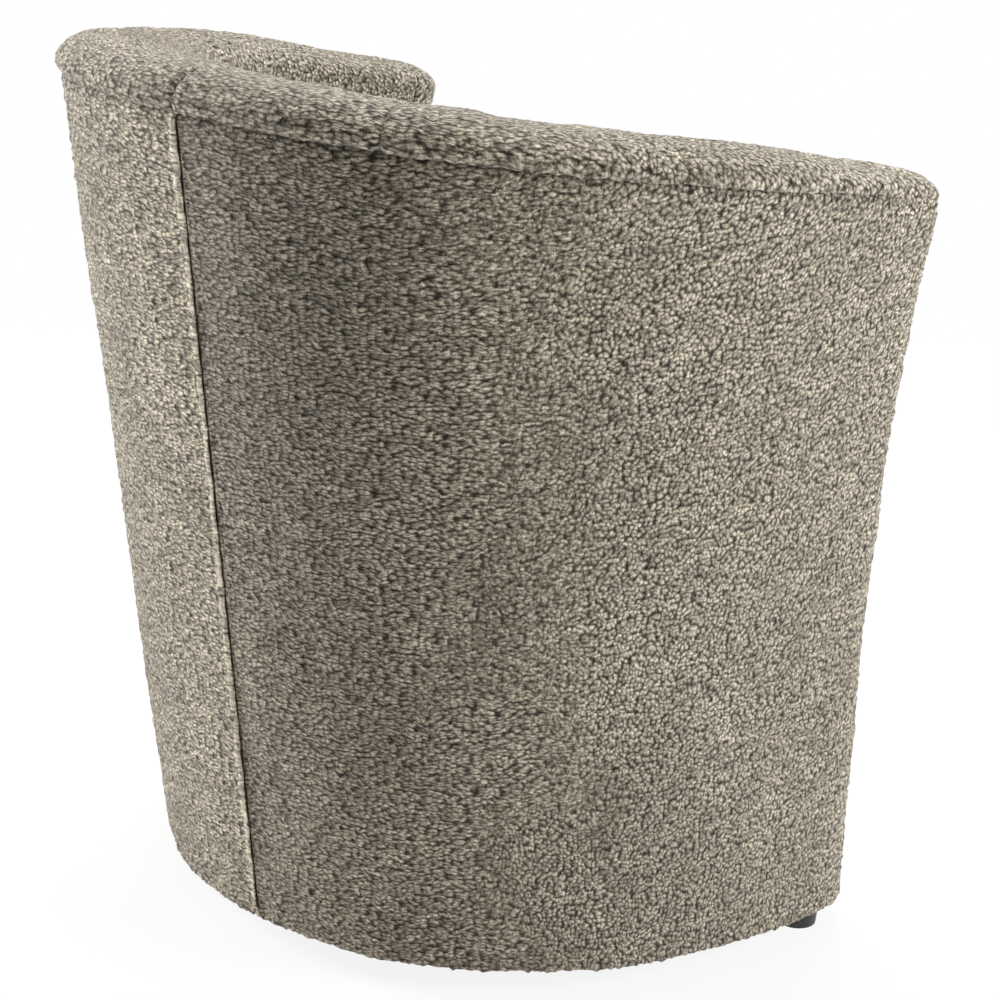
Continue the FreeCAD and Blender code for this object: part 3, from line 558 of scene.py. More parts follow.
FABRIC = chenille()
SOLID_MATERIALS = {
    "foam": matted(
        "foam",
        colours=((0.3, (0.66, 0.58, 0.38)), (0.7, (0.82, 0.76, 0.57))),
        scale=900.0,
        roughness=0.85,
        depth=0.0006,
    ),
    "plywood": wood(
        "plywood",
        colours=((0.3, (0.47, 0.32, 0.17)), (0.7, (0.7, 0.54, 0.35))),
        grain=9.0,
        roughness=0.6,
        stretch=(4.0, 40.0, 40.0),
        layers=260.0,
    ),
    "timber": wood(
        "timber",
        colours=((0.3, (0.42, 0.28, 0.15)), (0.7, (0.66, 0.5, 0.32))),
        grain=9.0,
        roughness=0.6,
        stretch=(40.0, 40.0, 4.0),
    ),
    "fibreboard": matted(
        "fibreboard",
        colours=((0.3, (0.22, 0.14, 0.07)), (0.7, (0.4, 0.28, 0.16))),
        scale=700.0,
        roughness=0.7,
        depth=0.0002,
    ),
    "black_cloth": matted(
        "black_cloth",
        colours=((0.3, (0.007, 0.007, 0.008)), (0.75, (0.022, 0.022, 0.023))),
        scale=1400.0,
        roughness=0.82,
        depth=0.0003,
    ),
    "felt": matted(
        "felt",
        colours=((0.3, (0.28, 0.27, 0.25)), (0.7, (0.52, 0.51, 0.48))),
        scale=1100.0,
        roughness=0.9,
        depth=0.0006,
    ),
    "webbing": woven(
        "webbing",
        colours=((0.1, (0.022, 0.022, 0.025)), (0.8, (0.075, 0.075, 0.08))),
        scale=160.0,
    ),
    "black_stain": wood(
        "black_stain",
        colours=((0.3, (0.006, 0.006, 0.006)), (0.75, (0.022, 0.02, 0.018))),
        grain=12.0,
        roughness=0.34,
        stretch=(50.0, 50.0, 5.0),
    ),
    "zinc": plated("zinc", colours=((0.2, (0.46, 0.46, 0.44)), (0.8, (0.7, 0.7, 0.68)))),
}


# Outer cover: hem, wall, rounded arm front and the rim's end, in one cloth
SEAM_COLUMNS = (0.0, 0.7, 1.5, 2.4, 3.4, 4.6, 6.0, 7.6, 9.6, 12.0)
EVEN_COLUMNS_FROM = 16.0
COVER_HEM = ((15.0, 3.6), (8.0, 1.4), (3.6, 0.2), (1.2, 0.7), (0.2, 2.4))
FLAT_COLUMNS = 5
OVERHANG_BACK = 5.0
OVERHANG_ARM = 2.4
RIM_TUCK = 4.2
RIM_SHADOW = 0.45
LIP_HEIGHT = 1.9
# Painted highlight on the raised lip at the centre seam
LIP_HIGHLIGHT = 0.55
# Painted light on the left cover near the centre seam, partly nap laid the other way
LEFT_PAINTED_LIGHT = 0.4
SUNK_DEPTH = 0.4
# Painted shade in the sunk line right of the centre seam
SUNK_SHADE = 0.66
# Painted light low and painted shade high on the right cover beside the centre seam
LOW_PAINTED_LIGHT = 0.14
HIGH_PAINTED_SHADE = 0.2
SEAM_X = 0.15
CAP_KNOBS = 0.33
TONGUE = 5.0
TONGUE_DROP = 1.5


def corner_columns():
    """(part, place) of the columns round an arm front: outer corner, flat front, inner corner."""
    turn = int(CORNER * QUARTER / STEP)
    columns = [("outer", k / turn) for k in range(1, turn + 1)]
    columns += [("flat", k / FLAT_COLUMNS) for k in range(1, FLAT_COLUMNS)]
    columns += [("inner", 1 - k / turn) for k in range(0, turn + 1)]
    return columns


def arm_front(share, outer_inset, inner_inset, columns):
    """Plan points of the rounded arm front with both faces moved inward."""
    end_x, end_y, onx, ony = arm_end(share)
    depth = wall(share) - inner_inset
    outer_r = CORNER - outer_inset
    inner_r = CORNER - inner_inset
    ox, oy = end_x - outer_inset * onx, end_y - outer_inset * ony
    ix, iy = end_x - depth * onx, end_y - depth * ony
    ocx, ocy = ox - outer_r * onx, oy - outer_r * ony
    icx, icy = ix + inner_r * onx, iy + inner_r * ony
    outer_start = math.atan2(ony, onx)
    inner_start = math.atan2(-ony, -onx)
    if inner_start > 0:
        inner_start -= 2 * math.pi
    points = []
    for part, place in columns:
        if part == "outer":
            angle = mix(outer_start, -QUARTER, place)
            points.append((ocx + outer_r * math.cos(angle), ocy + outer_r * math.sin(angle)))
        elif part == "inner":
            angle = mix(inner_start, -QUARTER, place)
            points.append((icx + inner_r * math.cos(angle), icy + inner_r * math.sin(angle)))
        else:
            points.append((mix(ocx, icx, place), mix(ocy - outer_r, icy - inner_r, place)))
    return np.array(points)


def overhang(arc):
    """How far the rim stands over the outer cover, at a distance along the rim seam."""
    return mix(OVERHANG_BACK, OVERHANG_ARM, ease((arc - 160.0) / 200.0))


def arm_fade(arc):
    """1 along the sewn rim seam, and 0 at the arm front, where the cloth runs on over the rim."""
    return fade_out(arc, 590.0, 70.0)


def pucker(arc):
    """Uneven pull of the stitches along the rim seam."""
    return 1 + 0.3 * np.sin(arc * 0.47 + 2.0 * np.sin(arc * 0.031))


def centre_seam(side, u, v, seed):
    """Lift and painted light and shade beside the centre-back seam: on the left a raised lip with a
    painted highlight and painted light near the seam, on the right a sunk line with painted shade and
    painted light and shade on its flank.
    """
    uneven = 1 + 0.24 * ripple(v, v * 0.3, seed + 3, 17.0)
    if side > 0:
        lift = LIP_HEIGHT * uneven * fade_out(u, 4.0, 6.0)
        # Painted highlight on the lip
        painted_shading = 1 + LIP_HIGHLIGHT * uneven * fade_out(u, 3.6, 2.4)
        # Painted light near the seam on the left cover, partly nap laid the other way
        painted_shading *= 1 + LEFT_PAINTED_LIGHT * fade_out(u, 40.0, 170.0)
    else:
        lift = -SUNK_DEPTH * uneven * bell(u, 3.2)
        # Painted shade in the sunk line
        painted_shading = 1 - SUNK_SHADE * bell(u, 2.8)
        # Painted light low and painted shade high, under the rim, beside the seam
        flank = bell(u - 120.0, 120.0)
        low = LOW_PAINTED_LIGHT * ease((320.0 - v) / 260.0)
        high = HIGH_PAINTED_SHADE * ease((v - 330.0) / 260.0)
        painted_shading *= 1 + flank * (low - high)
    return lift, painted_shading


def rim_end(brim, columns, seed):
    """Rows over the arm front, from the wall's last row to a tongue under the arm's panel."""
    rows = [brim]
    for angle in ROLL_ANGLES:
        inset = RIM_ROLL * (1 - math.cos(angle))
        plan = arm_front(1.0, inset + ARM_ROUND * math.cos(angle), inset, columns)
        z = mix(seam_height(plan[:, 1]), crest_height(plan[:, 1]), math.sin(angle))
        rows.append(np.stack([plan[:, 0], plan[:, 1], z], axis=1))
    end_x, end_y, onx, ony = arm_end(1.0)
    edge = rows[-1].copy()
    edge[:, 1] = end_y - (end_x - edge[:, 0]) / onx * ony
    edge[:, 2] = crest_height(edge[:, 1])
    tongue = edge.copy()
    tongue[:, 1] += TONGUE
    tongue[:, 2] = crest_height(tongue[:, 1]) - TONGUE_DROP
    cap = np.array(rows + [mix(rows[-1], edge, 0.5), edge, tongue])
    rng = np.random.default_rng(seed + 7)
    push = CAP_KNOBS * rng.normal(size=cap.shape[:2])
    cap[1:] += (grid_normals(cap) * push[..., None])[1:]
    return cap


def outer_cover(side, seed):
    """One half of the outer cover, from the hem to the rim seam and over the arm's end."""
    even = np.arange(EVEN_COLUMNS_FROM, RIM_LENGTH - 1.0, STEP)
    arcs = np.concatenate([SEAM_COLUMNS, even, [RIM_LENGTH]])
    corner = corner_columns()
    corner_arcs = RIM_LENGTH + STEP * np.arange(1, len(corner) + 1)
    all_arcs = np.concatenate([arcs, corner_arcs])
    full = len(all_arcs)
    sewn = arm_fade(arcs)

    # Each row has a share of the height, an inset and a lift
    rows = [(0.0, inset, lift) for inset, lift in COVER_HEM]
    steps = int(WALL_RISE / STEP)
    rows += [(k / steps, 0.0, 0.0) for k in range(1, steps + 1)]
    tops = len(rows)
    below = np.array([(1.0 - share) * WALL_RISE for share, _, _ in rows])
    points = np.zeros((tops, full, 3))
    for r, (share, inset, lift) in enumerate(rows):
        x, y, nx, ny, _ = line_at(share, arcs / RIM_LENGTH)
        pull = ARM_ROUND * ease(1 - below[r] / 34.0) ** 2
        tuck = RIM_TUCK * pucker(arcs) * ease(1 - below[r] / 9.0) * sewn + pull * (1 - sewn)
        x, y = x - (inset + tuck) * nx, y - (inset + tuck) * ny
        front = arm_front(share, inset + pull, inset, corner)
        px = np.concatenate([x, front[:, 0]])
        py = np.concatenate([y, front[:, 1]])
        points[r] = np.stack([px, py, raised(py, share) + lift], axis=1)

    # Seams, shade under the rim, and the lie of the cloth
    u = np.broadcast_to(all_arcs, (tops, full)).copy()
    v = points[..., 2].copy()
    lift, painted_shading = centre_seam(side, u, v, seed)
    above_hem = ease((v - HEM - 4) / 10.0)
    points += grid_normals(points) * (lift * above_hem)[..., None]
    sewn_columns = np.append(sewn, np.zeros(len(corner)))
    painted_shading = painted_shading * (1 - RIM_SHADOW * np.exp(-below[:, None] / 5.0) * sewn_columns)
    hold = ease(u / 5.0)[..., None]
    points = points * (1 - hold) + knobbly(points, u, v, seed) * hold
    points[:, 0, 0] = SEAM_X

    # The rim's end goes on from the wall's last row
    first = full - len(corner) - 1
    cap = rim_end(points[-1, first:], [("outer", 0.0)] + corner, seed)
    cap_u = np.broadcast_to(all_arcs[first:], cap.shape[:2])
    climb = np.linalg.norm(np.diff(cap, axis=0), axis=2)
    cap_v = np.cumsum(np.concatenate([cap[:1, :, 2], climb]), axis=0)
    wall_index = numbered(tops, full)
    cap_index = numbered(len(cap) - 1, cap.shape[1], tops * full)
    cap_index = np.concatenate([wall_index[-1:, first:], cap_index])
    faces = np.concatenate([grid_faces(wall_index), grid_faces(cap_index)])
    joined = np.concatenate([points.reshape(-1, 3), cap[1:].reshape(-1, 3)])
    cloth_u = np.concatenate([u.ravel(), cap_u[1:].ravel()])
    cloth_v = np.concatenate([v.ravel(), cap_v[1:].ravel()])
    painted_shading = np.concatenate([painted_shading.ravel(), np.ones(cap_u[1:].size)])
    cloth = cloth_layer(side * cloth_u, cloth_v, seed)
    return build_side("cover_outer", side, joined, faces, cloth, painted_shading)


# Inner panels: over the rim from the outer seam, and down the inside behind the seat
PANEL_EDGE = np.array([0.0, 1.0, 2.2, 3.8, 6.0])
PANEL_MARGIN = 10.0
PANEL_LOWEST = 0.405
CREST_ROWS = 7
CREST_CROWN = 0.6
STITCH_TUCK = 4.5
PANEL_BELLY = 2.6
PANEL_FINE = 0.45
# Painted highlight beside each seam, where a ridge would catch light
SEAM_RIDGE_HIGHLIGHT = 0.2
LEFT_DIP = 1.2
RIGHT_DIP = 2.6
LEFT_SHADOW = 0.2
RIGHT_SHADOW = 0.5
PANEL_CLOTH_START = 4000.0


def rim_section(fractions):
    """Grid of points from the outer rim seam over the crest and down the inside."""
    arcs = np.asarray(fractions) * RIM_LENGTH
    x, y, nx, ny, _ = line_at(1.0, fractions)
    over = overhang(arcs)
    fade = arm_fade(arcs)
    rows = []

    def row(inset, rise, lift=0.0):
        px, py = x - inset * nx, y - inset * ny
        height = mix(seam_height(py), crest_height(py), rise) + lift
        rows.append(np.stack([px, py, height], axis=1))

    row(mix(ARM_ROUND, STITCH_TUCK * pucker(arcs), fade), 0.0, -1.0 * fade)
    row(mix(ARM_ROUND, -0.6 * over, fade), 0.0, -1.4 * fade * pucker(arcs))
    start = mix(ARM_ROUND, -over, fade)
    for angle in ROLL_ANGLES:
        row(RIM_ROLL * (1 - math.cos(angle)) + start * math.cos(angle), math.sin(angle))
    flat = RIM_WALL - 2 * RIM_ROLL
    for k in range(1, CREST_ROWS):
        across = k / CREST_ROWS
        row(RIM_ROLL + flat * across, 1.0, CREST_CROWN * math.sin(math.pi * across))
    for angle in reversed(ROLL_ANGLES):
        row(RIM_WALL - RIM_ROLL * (1 - math.cos(angle)), math.sin(angle))
    steps = int((1 - PANEL_LOWEST) * WALL_RISE / STEP)
    for k in range(steps + 1):
        share = mix(1.0, PANEL_LOWEST, k / steps)
        px, py, pnx, pny, _ = line_at(share, fractions)
        inset = wall(share)
        ix, iy = px - inset * pnx, py - inset * pny
        rows.append(np.stack([ix, iy, raised(iy, share)], axis=1))
    return np.array(rows), arcs


def inner_panel(label, side, start, end, seed):
    """One panel of the inside; the arm's panel is sewn only at its start."""
    on_arm = label == "arm"
    count = int((end - start) / STEP)
    if on_arm:
        plain = np.linspace(start + PANEL_MARGIN, end, count - 2)
        arcs = np.concatenate([start + PANEL_EDGE, plain])
    else:
        plain = np.linspace(start + PANEL_MARGIN, end - PANEL_MARGIN, count - 4)
        arcs = np.concatenate([start + PANEL_EDGE, plain, end - PANEL_EDGE[::-1]])
    points, arcs = rim_section(arcs / RIM_LENGTH)
    rows = len(points)
    along = np.linalg.norm(np.diff(points, axis=0), axis=2)
    down = np.concatenate([np.zeros((1, len(arcs))), np.cumsum(along, axis=0)])
    u = np.broadcast_to(arcs, (rows, len(arcs))).copy()
    v = down[2] - down
    near = u - start if on_arm else np.minimum(u - start, end - u)
    near = np.maximum(near, 0.0)

    # Seams dip with painted shade along them and a painted highlight beside them, and the padding
    # bellies out between them
    depth = LEFT_DIP if side > 0 else RIGHT_DIP
    shadow = LEFT_SHADOW if side > 0 else RIGHT_SHADOW
    dip = -depth * np.exp(-near / 3.0)
    painted_shading = 1 - shadow * np.exp(-near / 1.6) + SEAM_RIDGE_HIGHLIGHT * bell(near - 5.0, 2.6)
    belly = PANEL_BELLY * ease(near / 70.0) * ease((down - 110.0) / 120.0)
    hold = ease(near / 5.0) * ease(down / 8.0)
    if on_arm:
        belly = belly * ease((end - u) / 60.0)
        hold = hold * ease((end - u) / 6.0 + 0.15)
    settle = ease(down / 12.0)
    points = points + grid_normals(points) * ((dip + belly) * settle)[..., None]
    shaken = knobbly(points, u, v, seed, fine=PANEL_FINE)
    points = mix(points, shaken, hold[..., None])
    faces = grid_faces(numbered(rows, len(arcs)))
    cloth = cloth_layer(side * u, v + PANEL_CLOTH_START, seed)
    return build_side(f"panel_{label}", side, points.reshape(-1, 3), faces, cloth, painted_shading)


# Bowed front below the seat, with its top edge folded in under the cushion
BORDER_SEED = 61
BORDER_COLUMNS = 150
BORDER_SPAN = 640.0
BORDER_SOFT = 0.5
BORDER_EDGE_GAP = 0.3
BORDER_CLOTH_START = 900.0
BORDER_HEM = ((14.0, 3.4), (7.0, 1.2), (2.6, 0.2), (0.8, 0.9), (0.1, 2.6))
BORDER_FOLD = (
    (0.997, 0.6, 0.2),
    (0.998, 3.0, 0.3),
    (0.998, 9.0, 0.2),
    (0.998, 16.0, 0.2),
    (0.998, 24.0, 0.1),
)


def front_border():
    edge = FRONT_WRAP - BASE_FRONT - BORDER_EDGE_GAP
    rows = [(0.0, inset, lift) for inset, lift in BORDER_HEM]
    steps = int((DECK - HEM) / STEP)
    rows += [(k / steps, 0.0, 0.0) for k in range(1, steps)]
    rows += BORDER_FOLD
    points = []
    for share, inset, lift in rows:
        radius = BORDER_RADIUS + BORDER_FLARE * share - inset
        half = math.acos((BORDER_CENTRE - edge) / radius)
        angle = np.linspace(-half, half, BORDER_COLUMNS)
        x = radius * np.sin(angle)
        y = BORDER_CENTRE - radius * np.cos(angle)
        z = np.full(BORDER_COLUMNS, mix(HEM, DECK, share) + lift)
        points.append(np.stack([x, y, z], axis=1))
    points = np.array(points)[:, ::-1]
    u = np.broadcast_to(np.linspace(0, BORDER_SPAN, BORDER_COLUMNS), points.shape[:2]).copy()
    folded = np.array([inset if share > 0.5 else -inset for share, inset, _ in rows])
    v = points[..., 2] + folded[:, None]
    points = knobbly(points, u, v, BORDER_SEED, BORDER_SOFT)
    faces = grid_faces(numbered(*points.shape[:2]))
    cloth = cloth_layer(u + BORDER_CLOTH_START, v, BORDER_SEED)
    return make_mesh("cover_front_border", points.reshape(-1, 3), faces, cloth, np.ones(u.size))


# Seat cushion: a drawn-in round pad, blown up by a short cloth run
SEAT_POINTS = 120
SEAT_ROUNDS = 6
SEAT_SIDE_END = -110.0
SEAT_BOW_POINTS = 60
SEAT_COLUMNS = 200
SEAT_SHRINK = 4.0
SEAT_LIFT = 0.6
SEAT_FLOOR = 0.5
SEAT_WAIST = 0.42
SEAT_CROWN = 110.0
SEAT_POWER = 2.8
SEAT_TURNS = 8
SEAT_SEAM = 372.0
SEAT_SEED = 71
SEAT_GROOVE = 2.4
SEAT_GATHER = 0.42
SEAT_CREASE = 0.8
SEAT_KNOBS = 0.3
SEAT_SHADOW = 0.62
SEAT_MIDDLE = 69.0
VOXEL_M = 0.006
PUFF_LIMIT_M = 0.006
PUFF_FRAMES = 20


def seat_ring(inset, z):
    """Closed plan line inside the tub at a height, round at the front."""
    fractions = np.linspace(0, 1, SEAT_POINTS)
    x, y, _, _, _ = line_at(0.5, fractions)
    for _ in range(SEAT_ROUNDS):
        share = (z - HEM) / (seam_height(y) - HEM)
        got = [line_at(float(s), [f]) for s, f in zip(share, fractions)]
        depth = np.array([wall(float(s)) for s in share]) + SEAT_GAP + inset
        x = np.array([g[0][0] - d * g[2][0] for g, d in zip(got, depth)])
        y = np.array([g[1][0] - d * g[3][0] for g, d in zip(got, depth)])
    keep = y > SEAT_SIDE_END
    x, y = x[keep], y[keep]
    end_x, end_y = x[-1], y[-1]
    nose = inset - SEAT_FRONT
    rise = end_y - nose
    radius = (end_x * end_x + rise * rise) / (2 * rise)
    middle = nose + radius
    start = math.atan2(end_y - middle, end_x)
    turn = np.linspace(start, -QUARTER, SEAT_BOW_POINTS)[1:]
    x = np.concatenate([x, radius * np.cos(turn)])
    y = np.concatenate([y, middle + radius * np.sin(turn)])
    x, y = mirrored(x, y)
    return np.stack([x, y, np.full(len(x), z)], axis=1)


def seat_cushion():
    low = DECK + SEAT_LIFT
    high = SEAT_HEIGHT - SEAT_SHRINK
    waist = mix(low, high, SEAT_WAIST)
    levels = [(60.0, low), (2.0 + SEAT_SHRINK, low), (1.0 + SEAT_SHRINK, mix(low, waist, 0.5))]
    for k in range(SEAT_TURNS + 1):
        angle = QUARTER * k / SEAT_TURNS
        drawn = SEAT_CROWN * (1 - math.cos(angle) ** (2 / SEAT_POWER))
        rise = math.sin(angle) ** (2 / SEAT_POWER)
        levels.append((drawn + SEAT_SHRINK, mix(waist, high, rise)))
    rings = []
    for inset, z in levels:
        ring = seat_ring(inset, z)
        strides = np.linalg.norm(np.diff(ring, axis=0), axis=1)
        length = np.concatenate([[0.0], np.cumsum(strides)])
        target = np.linspace(0, length[-1], SEAT_COLUMNS, endpoint=False)
        rings.append(np.stack([np.interp(target, length, ring[:, k]) for k in range(3)], axis=1))
    points = np.concatenate(rings + [rings[0].mean(axis=0)[None], rings[-1].mean(axis=0)[None]])
    faces = ring_faces(len(rings), SEAT_COLUMNS)
    under = len(rings) * SEAT_COLUMNS
    top_ring = under - SEAT_COLUMNS
    for c in range(SEAT_COLUMNS):
        n = (c + 1) % SEAT_COLUMNS
        faces.append((n, c, under))
        faces.append((under + 1, top_ring + c, top_ring + n))
    obj = make_mesh("cushion_seat", points, faces)
    settle_cushion(obj)
    dress_cushion(obj.data)
    return obj


def apply_modifiers(obj):
    graph = bpy.context.evaluated_depsgraph_get()
    made = bpy.data.meshes.new_from_object(obj.evaluated_get(graph))
    obj.modifiers.clear()
    old = obj.data
    obj.data = made
    bpy.data.meshes.remove(old)


def read_points(mesh, field):
    flat = np.empty(len(mesh.vertices) * 3)
    mesh.vertices.foreach_get(field, flat)
    return flat.reshape(-1, 3)


def puff(obj):
    """Short cloth simulation under pressure, without gravity."""
    cloth = obj.modifiers.new("puff", "CLOTH")
    cloth.settings.quality = 5
    cloth.settings.mass = 0.3
    cloth.settings.tension_stiffness = 18.0
    cloth.settings.compression_stiffness = 18.0
    cloth.settings.bending_stiffness = 1.2
    cloth.settings.use_pressure = True
    cloth.settings.uniform_pressure_force = 4.0
    cloth.settings.effector_weights.gravity = 0.0
    cloth.point_cache.frame_start = 1
    cloth.point_cache.frame_end = PUFF_FRAMES
    for step in range(1, PUFF_FRAMES + 1):
        bpy.context.scene.frame_set(step)
    apply_modifiers(obj)
    bpy.context.scene.frame_set(1)


def settle_cushion(obj):
    """Remeshes the pad, blows it up within a limit and smooths it."""
    remesh = obj.modifiers.new("remesh", "REMESH")
    remesh.mode = "VOXEL"
    remesh.voxel_size = VOXEL_M
    remesh.use_smooth_shade = True
    apply_modifiers(obj)
    before = read_points(obj.data, "co")
    puff(obj)
    move = read_points(obj.data, "co") - before
    length = np.linalg.norm(move, axis=1, keepdims=True)
    move *= np.minimum(1.0, PUFF_LIMIT_M / np.maximum(length, 1e-9))
    place = before + move
    place[:, 2] = np.maximum(place[:, 2], (DECK + SEAT_FLOOR) * MM)
    obj.data.vertices.foreach_set("co", place.ravel())
    smooth = obj.modifiers.new("smooth", "SUBSURF")
    smooth.levels = 1
    smooth.render_levels = 1
    apply_modifiers(obj)


def dress_cushion(mesh):
    """Sewn line round the side, light creases, and cloth coordinates."""
    place = read_points(mesh, "co")
    normal = read_points(mesh, "normal")
    x, y, z = (place / MM).T
    angle = np.arctan2(x, -(y + 80.0))
    side = ease((0.75 - normal[:, 2]) / 0.25)
    groove = -SEAT_GROOVE * bell(z - SEAT_SEAM, 3.2)
    gather = SEAT_GATHER * np.sin(angle * 62.0) * np.exp(-np.abs(z - SEAT_SEAM) / 16.0)
    crease = SEAT_CREASE * ripple(x, y, SEAT_SEED, 130.0)
    rng = np.random.default_rng(SEAT_SEED + 1)
    knob = SEAT_KNOBS * rng.normal(size=len(x))
    above_deck = ease((z - DECK - 6) / 12.0)
    push = (groove + gather + crease * (1 - side) + knob) * above_deck
    place = place + normal * (push * MM)[:, None]
    mesh.vertices.foreach_set("co", place.ravel())

    # The top's cloth is spread from its middle, and the side's runs round
    top = z > SEAT_SEAM
    reach = np.maximum(np.hypot(x, y + SEAT_MIDDLE), 1.0)
    spread = 1 + 0.8 * (SEAT_HEIGHT - z) / reach
    u = np.where(top, x * spread, angle * 230.0)
    v = np.where(top, (y + SEAT_MIDDLE) * spread, z + 700.0)
    painted_shading = 1 - SEAT_SHADOW * bell(z - SEAT_SEAM, 2.6)
    write_cloth(mesh, cloth_layer(u, v, SEAT_SEED), painted_shading)
    mesh.shade_smooth()
    mesh.update()


# Black cloth under the chair, stretched and stapled to the bottom ring
DUST_SEED = 81
DUST_INSET = 12.0
DUST_HEIGHT = 22.9
DUST_SAG = 2.2
DUST_WAVE = 0.35
DUST_POINTS = 70
DUST_BOW_POINTS = 40
DUST_RINGS = 48
DUST_MIDDLE = np.array([0.0, -20.0])


def dust_sheet():
    """The sheet, with its flat width, length and area in metres."""
    x, y, nx, ny, _ = line_at(0.0, np.linspace(0, 1, DUST_POINTS))
    x, y = x - DUST_INSET * nx, y - DUST_INSET * ny
    front = arm_front(0.0, DUST_INSET, DUST_INSET, corner_columns())
    radius = BORDER_RADIUS - DUST_INSET
    last_x, last_y = front[-1]
    start = math.atan2(last_y - BORDER_CENTRE, last_x)
    turn = np.linspace(start, -QUARTER, DUST_BOW_POINTS)[1:]
    x = np.concatenate([x, front[:, 0], radius * np.cos(turn)])
    y = np.concatenate([y, front[:, 1], BORDER_CENTRE + radius * np.sin(turn)])
    x, y = mirrored(x, y)
    edge = np.stack([x, y], axis=1)
    rings = []
    for share in np.concatenate([[0.004], np.linspace(0.05, 1.0, DUST_RINGS)]):
        plan = DUST_MIDDLE + (edge - DUST_MIDDLE) * share
        sag = -DUST_SAG * fade_out(share, 0.25, 0.5)
        wave = DUST_WAVE * ripple(plan[:, 0], plan[:, 1], DUST_SEED, 140.0) * fade_out(share, 0.6, 0.3)
        rings.append(np.column_stack([plan, DUST_HEIGHT + sag + wave]))
    # Each quad starts at its second corner, which sets the way it is split
    faces = [face[1:] + face[:1] for face in ring_faces(len(rings), len(edge))]
    faces.append(tuple(range(len(edge))))
    obj = make_mesh("dust_sheet", np.concatenate(rings), faces)
    area = 0.5 * abs(np.sum(x * np.roll(y, -1) - y * np.roll(x, -1))) * MM * MM
    width = (x.max() - x.min()) * MM
    length = (y.max() - y.min()) * MM
    return obj, width, length, area


# Covers, seat and dust sheet take the place of their solids
for side, word, seed in ((1, "left", 11), (-1, "right", 12)):
    piece = outer_cover(side, seed)
    thicken(piece)
    finish_piece(piece, FABRIC, [f"outer_cover_{word}"])
    spans = (("centre", 0.0, SEAM_1), ("middle", SEAM_1, SEAM_2), ("arm", SEAM_2, RIM_LENGTH))
    stuffed = {"centre_left": ["back_foam"], f"arm_{word}": [f"arm_foam_{word}"]}
    for label, start, end in spans:
        piece = inner_panel(label, side, start, end, seed + 20 + int(start))
        thicken(piece)
        inside = stuffed.get(f"{label}_{word}", [])
        finish_piece(piece, FABRIC, [f"inner_panel_{label}_{word}"] + inside)

border = front_border()
thicken(border)
finish_piece(border, FABRIC, ["front_border_cover", "front_border_foam"])
seat = seat_cushion()
finish_piece(seat, FABRIC, ["seat_cover", "seat_foam"])
dust, dust_width, dust_length, dust_area = dust_sheet()
finish_piece(dust, SOLID_MATERIALS["black_cloth"], ["dust_cover"])

# Solids that stay take their procedural material
slots = {entry["node"]: entry["material_slot"] for entry in frame["record"]["subparts"]}
for name, slot in slots.items():
    solid = bpy.data.objects.get(name)
    if slot not in SOLID_MATERIALS or solid is None:
        continue
    solid.data.materials.clear()
    solid.data.materials.append(SOLID_MATERIALS[slot])

# Floor and world, white to the camera, with the chair's own light kept apart
FLOOR_HALF_M = 40
FLOOR_GREY = (0.9, 0.9, 0.9, 1.0)
FLOOR_POOL = (("From Min", 0.5), ("From Max", 1.8), ("To Min", 0.88), ("To Max", 1.0))
WHITE = (1.0, 1.0, 1.0, 1.0)
AMBIENT_COLOUR = (1.0, 0.965, 0.87, 1.0)
AMBIENT_STRENGTH = 0.29


def seen_directly(tree):
    """1 for rays from the camera, gloss and glass, and 0 for the light that falls on things."""
    rays = node(tree, "ShaderNodeLightPath")
    seen = maths(tree, "MAXIMUM", rays.outputs["Is Camera Ray"], rays.outputs["Is Glossy Ray"])
    return maths(tree, "MAXIMUM", seen, rays.outputs["Is Transmission Ray"])


def make_floor():
    """Pale floor that keeps the chair's shadow close by and turns white further off."""
    reach = FLOOR_HALF_M
    corners = [(-reach, -reach, 0), (reach, -reach, 0), (reach, reach, 0), (-reach, reach, 0)]
    mesh = bpy.data.meshes.new("floor")
    mesh.from_pydata(corners, [], [(0, 1, 2, 3)])
    floor = bpy.data.objects.new("floor", mesh)
    bpy.context.scene.collection.objects.link(floor)
    material, tree, shader = new_material("floor")
    shader.inputs["Base Color"].default_value = FLOOR_GREY
    shader.inputs["Roughness"].default_value = 0.9
    glow = node(tree, "ShaderNodeEmission", in_Strength=1.0)
    far = node(tree, "ShaderNodeVectorMath", operation="LENGTH")
    tree.links.new(object_place(tree), far.inputs[0])
    pool = node(tree, "ShaderNodeMapRange", interpolation_type="SMOOTHSTEP")
    for socket, value in FLOOR_POOL:
        pool.inputs[socket].default_value = value
    tree.links.new(far.outputs["Value"], pool.inputs["Value"])
    seen = maths(tree, "MULTIPLY", seen_directly(tree), pool.outputs["Result"])
    surface = mix_shaders(tree, seen, shader.outputs[0], glow.outputs[0])
    tree.links.new(surface, tree.nodes["Material Output"].inputs["Surface"])
    mesh.materials.append(material)
    return floor


floor = make_floor()

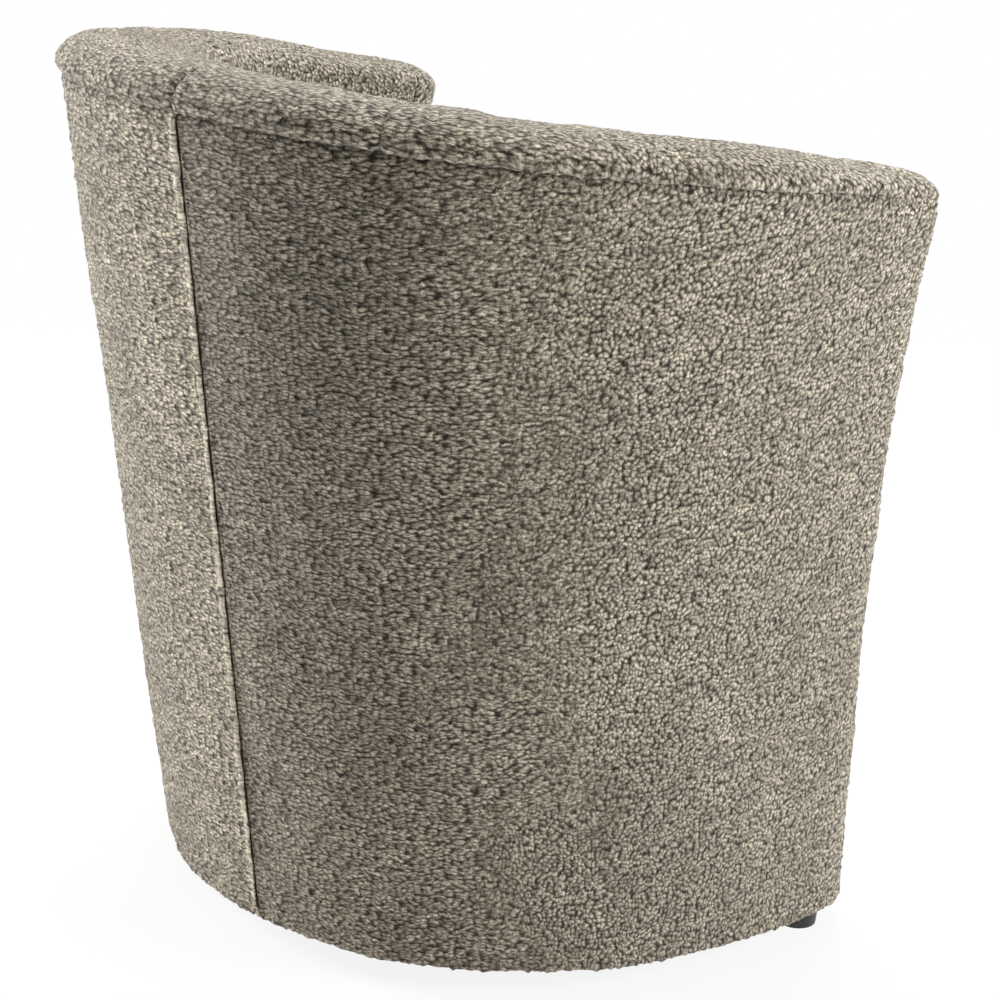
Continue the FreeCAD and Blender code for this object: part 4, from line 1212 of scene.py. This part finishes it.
world = bpy.data.worlds.new("studio")
bpy.context.scene.world = world
world.use_nodes = True
sky = world.node_tree
sky.nodes.clear()
ambient = node(sky, "ShaderNodeBackground", in_Color=AMBIENT_COLOUR, in_Strength=AMBIENT_STRENGTH)
backdrop = node(sky, "ShaderNodeBackground", in_Color=WHITE, in_Strength=1.0)
shown = mix_shaders(sky, seen_directly(sky), ambient.outputs[0], backdrop.outputs[0])
sky.links.new(shown, node(sky, "ShaderNodeOutputWorld").inputs["Surface"])

# Lamps and camera, in metres and watts; a lamp has a name, place, target, size and power
LAMPS = (
    ("overhead", (0.3, -0.5, 2.6), (0.0, 0.0, 0.5), 1.5, 53.0),
    ("right_box", (-2.6, -1.0, 1.3), (-0.2, 0.0, 0.4), 1.2, 74.0),
    ("left_box", (2.7, 1.0, 1.3), (0.1, 0.1, 0.4), 1.2, 118.0),
    ("inside_fill", (1.2, -2.4, 1.8), (0.0, 0.0, 0.4), 1.4, 20.0),
)
CAMERA_PLACE = (-1.755, 1.7057, 1.2191)
CAMERA_BACK = (-0.6634, 0.6659, 0.3412)
CAMERA_LENS = 111.4
CAMERA_SENSOR = 36.0


def area_lamp(name, place, target, size, power):
    data = bpy.data.lights.new(name, "AREA")
    data.shape = "DISK"
    data.size = size
    data.energy = power
    lamp = bpy.data.objects.new(name, data)
    lamp.location = place
    aim = Vector(target) - Vector(place)
    lamp.rotation_euler = aim.to_track_quat("-Z", "Y").to_euler()
    bpy.context.scene.collection.objects.link(lamp)


for lamp in LAMPS:
    area_lamp(*lamp)

camera_data = bpy.data.cameras.new("camera")
camera_data.lens = CAMERA_LENS
camera_data.sensor_width = CAMERA_SENSOR
camera = bpy.data.objects.new("camera", camera_data)
back = Vector(CAMERA_BACK).normalized()
across = Vector((0.0, 0.0, 1.0)).cross(back).normalized()
upward = back.cross(across)
turn = Matrix((across, upward, back)).transposed()
camera.matrix_world = Matrix.Translation(CAMERA_PLACE) @ turn.to_4x4()
bpy.context.scene.collection.objects.link(camera)
bpy.context.scene.camera = camera
bpy.context.scene.view_settings.view_transform = "Standard"
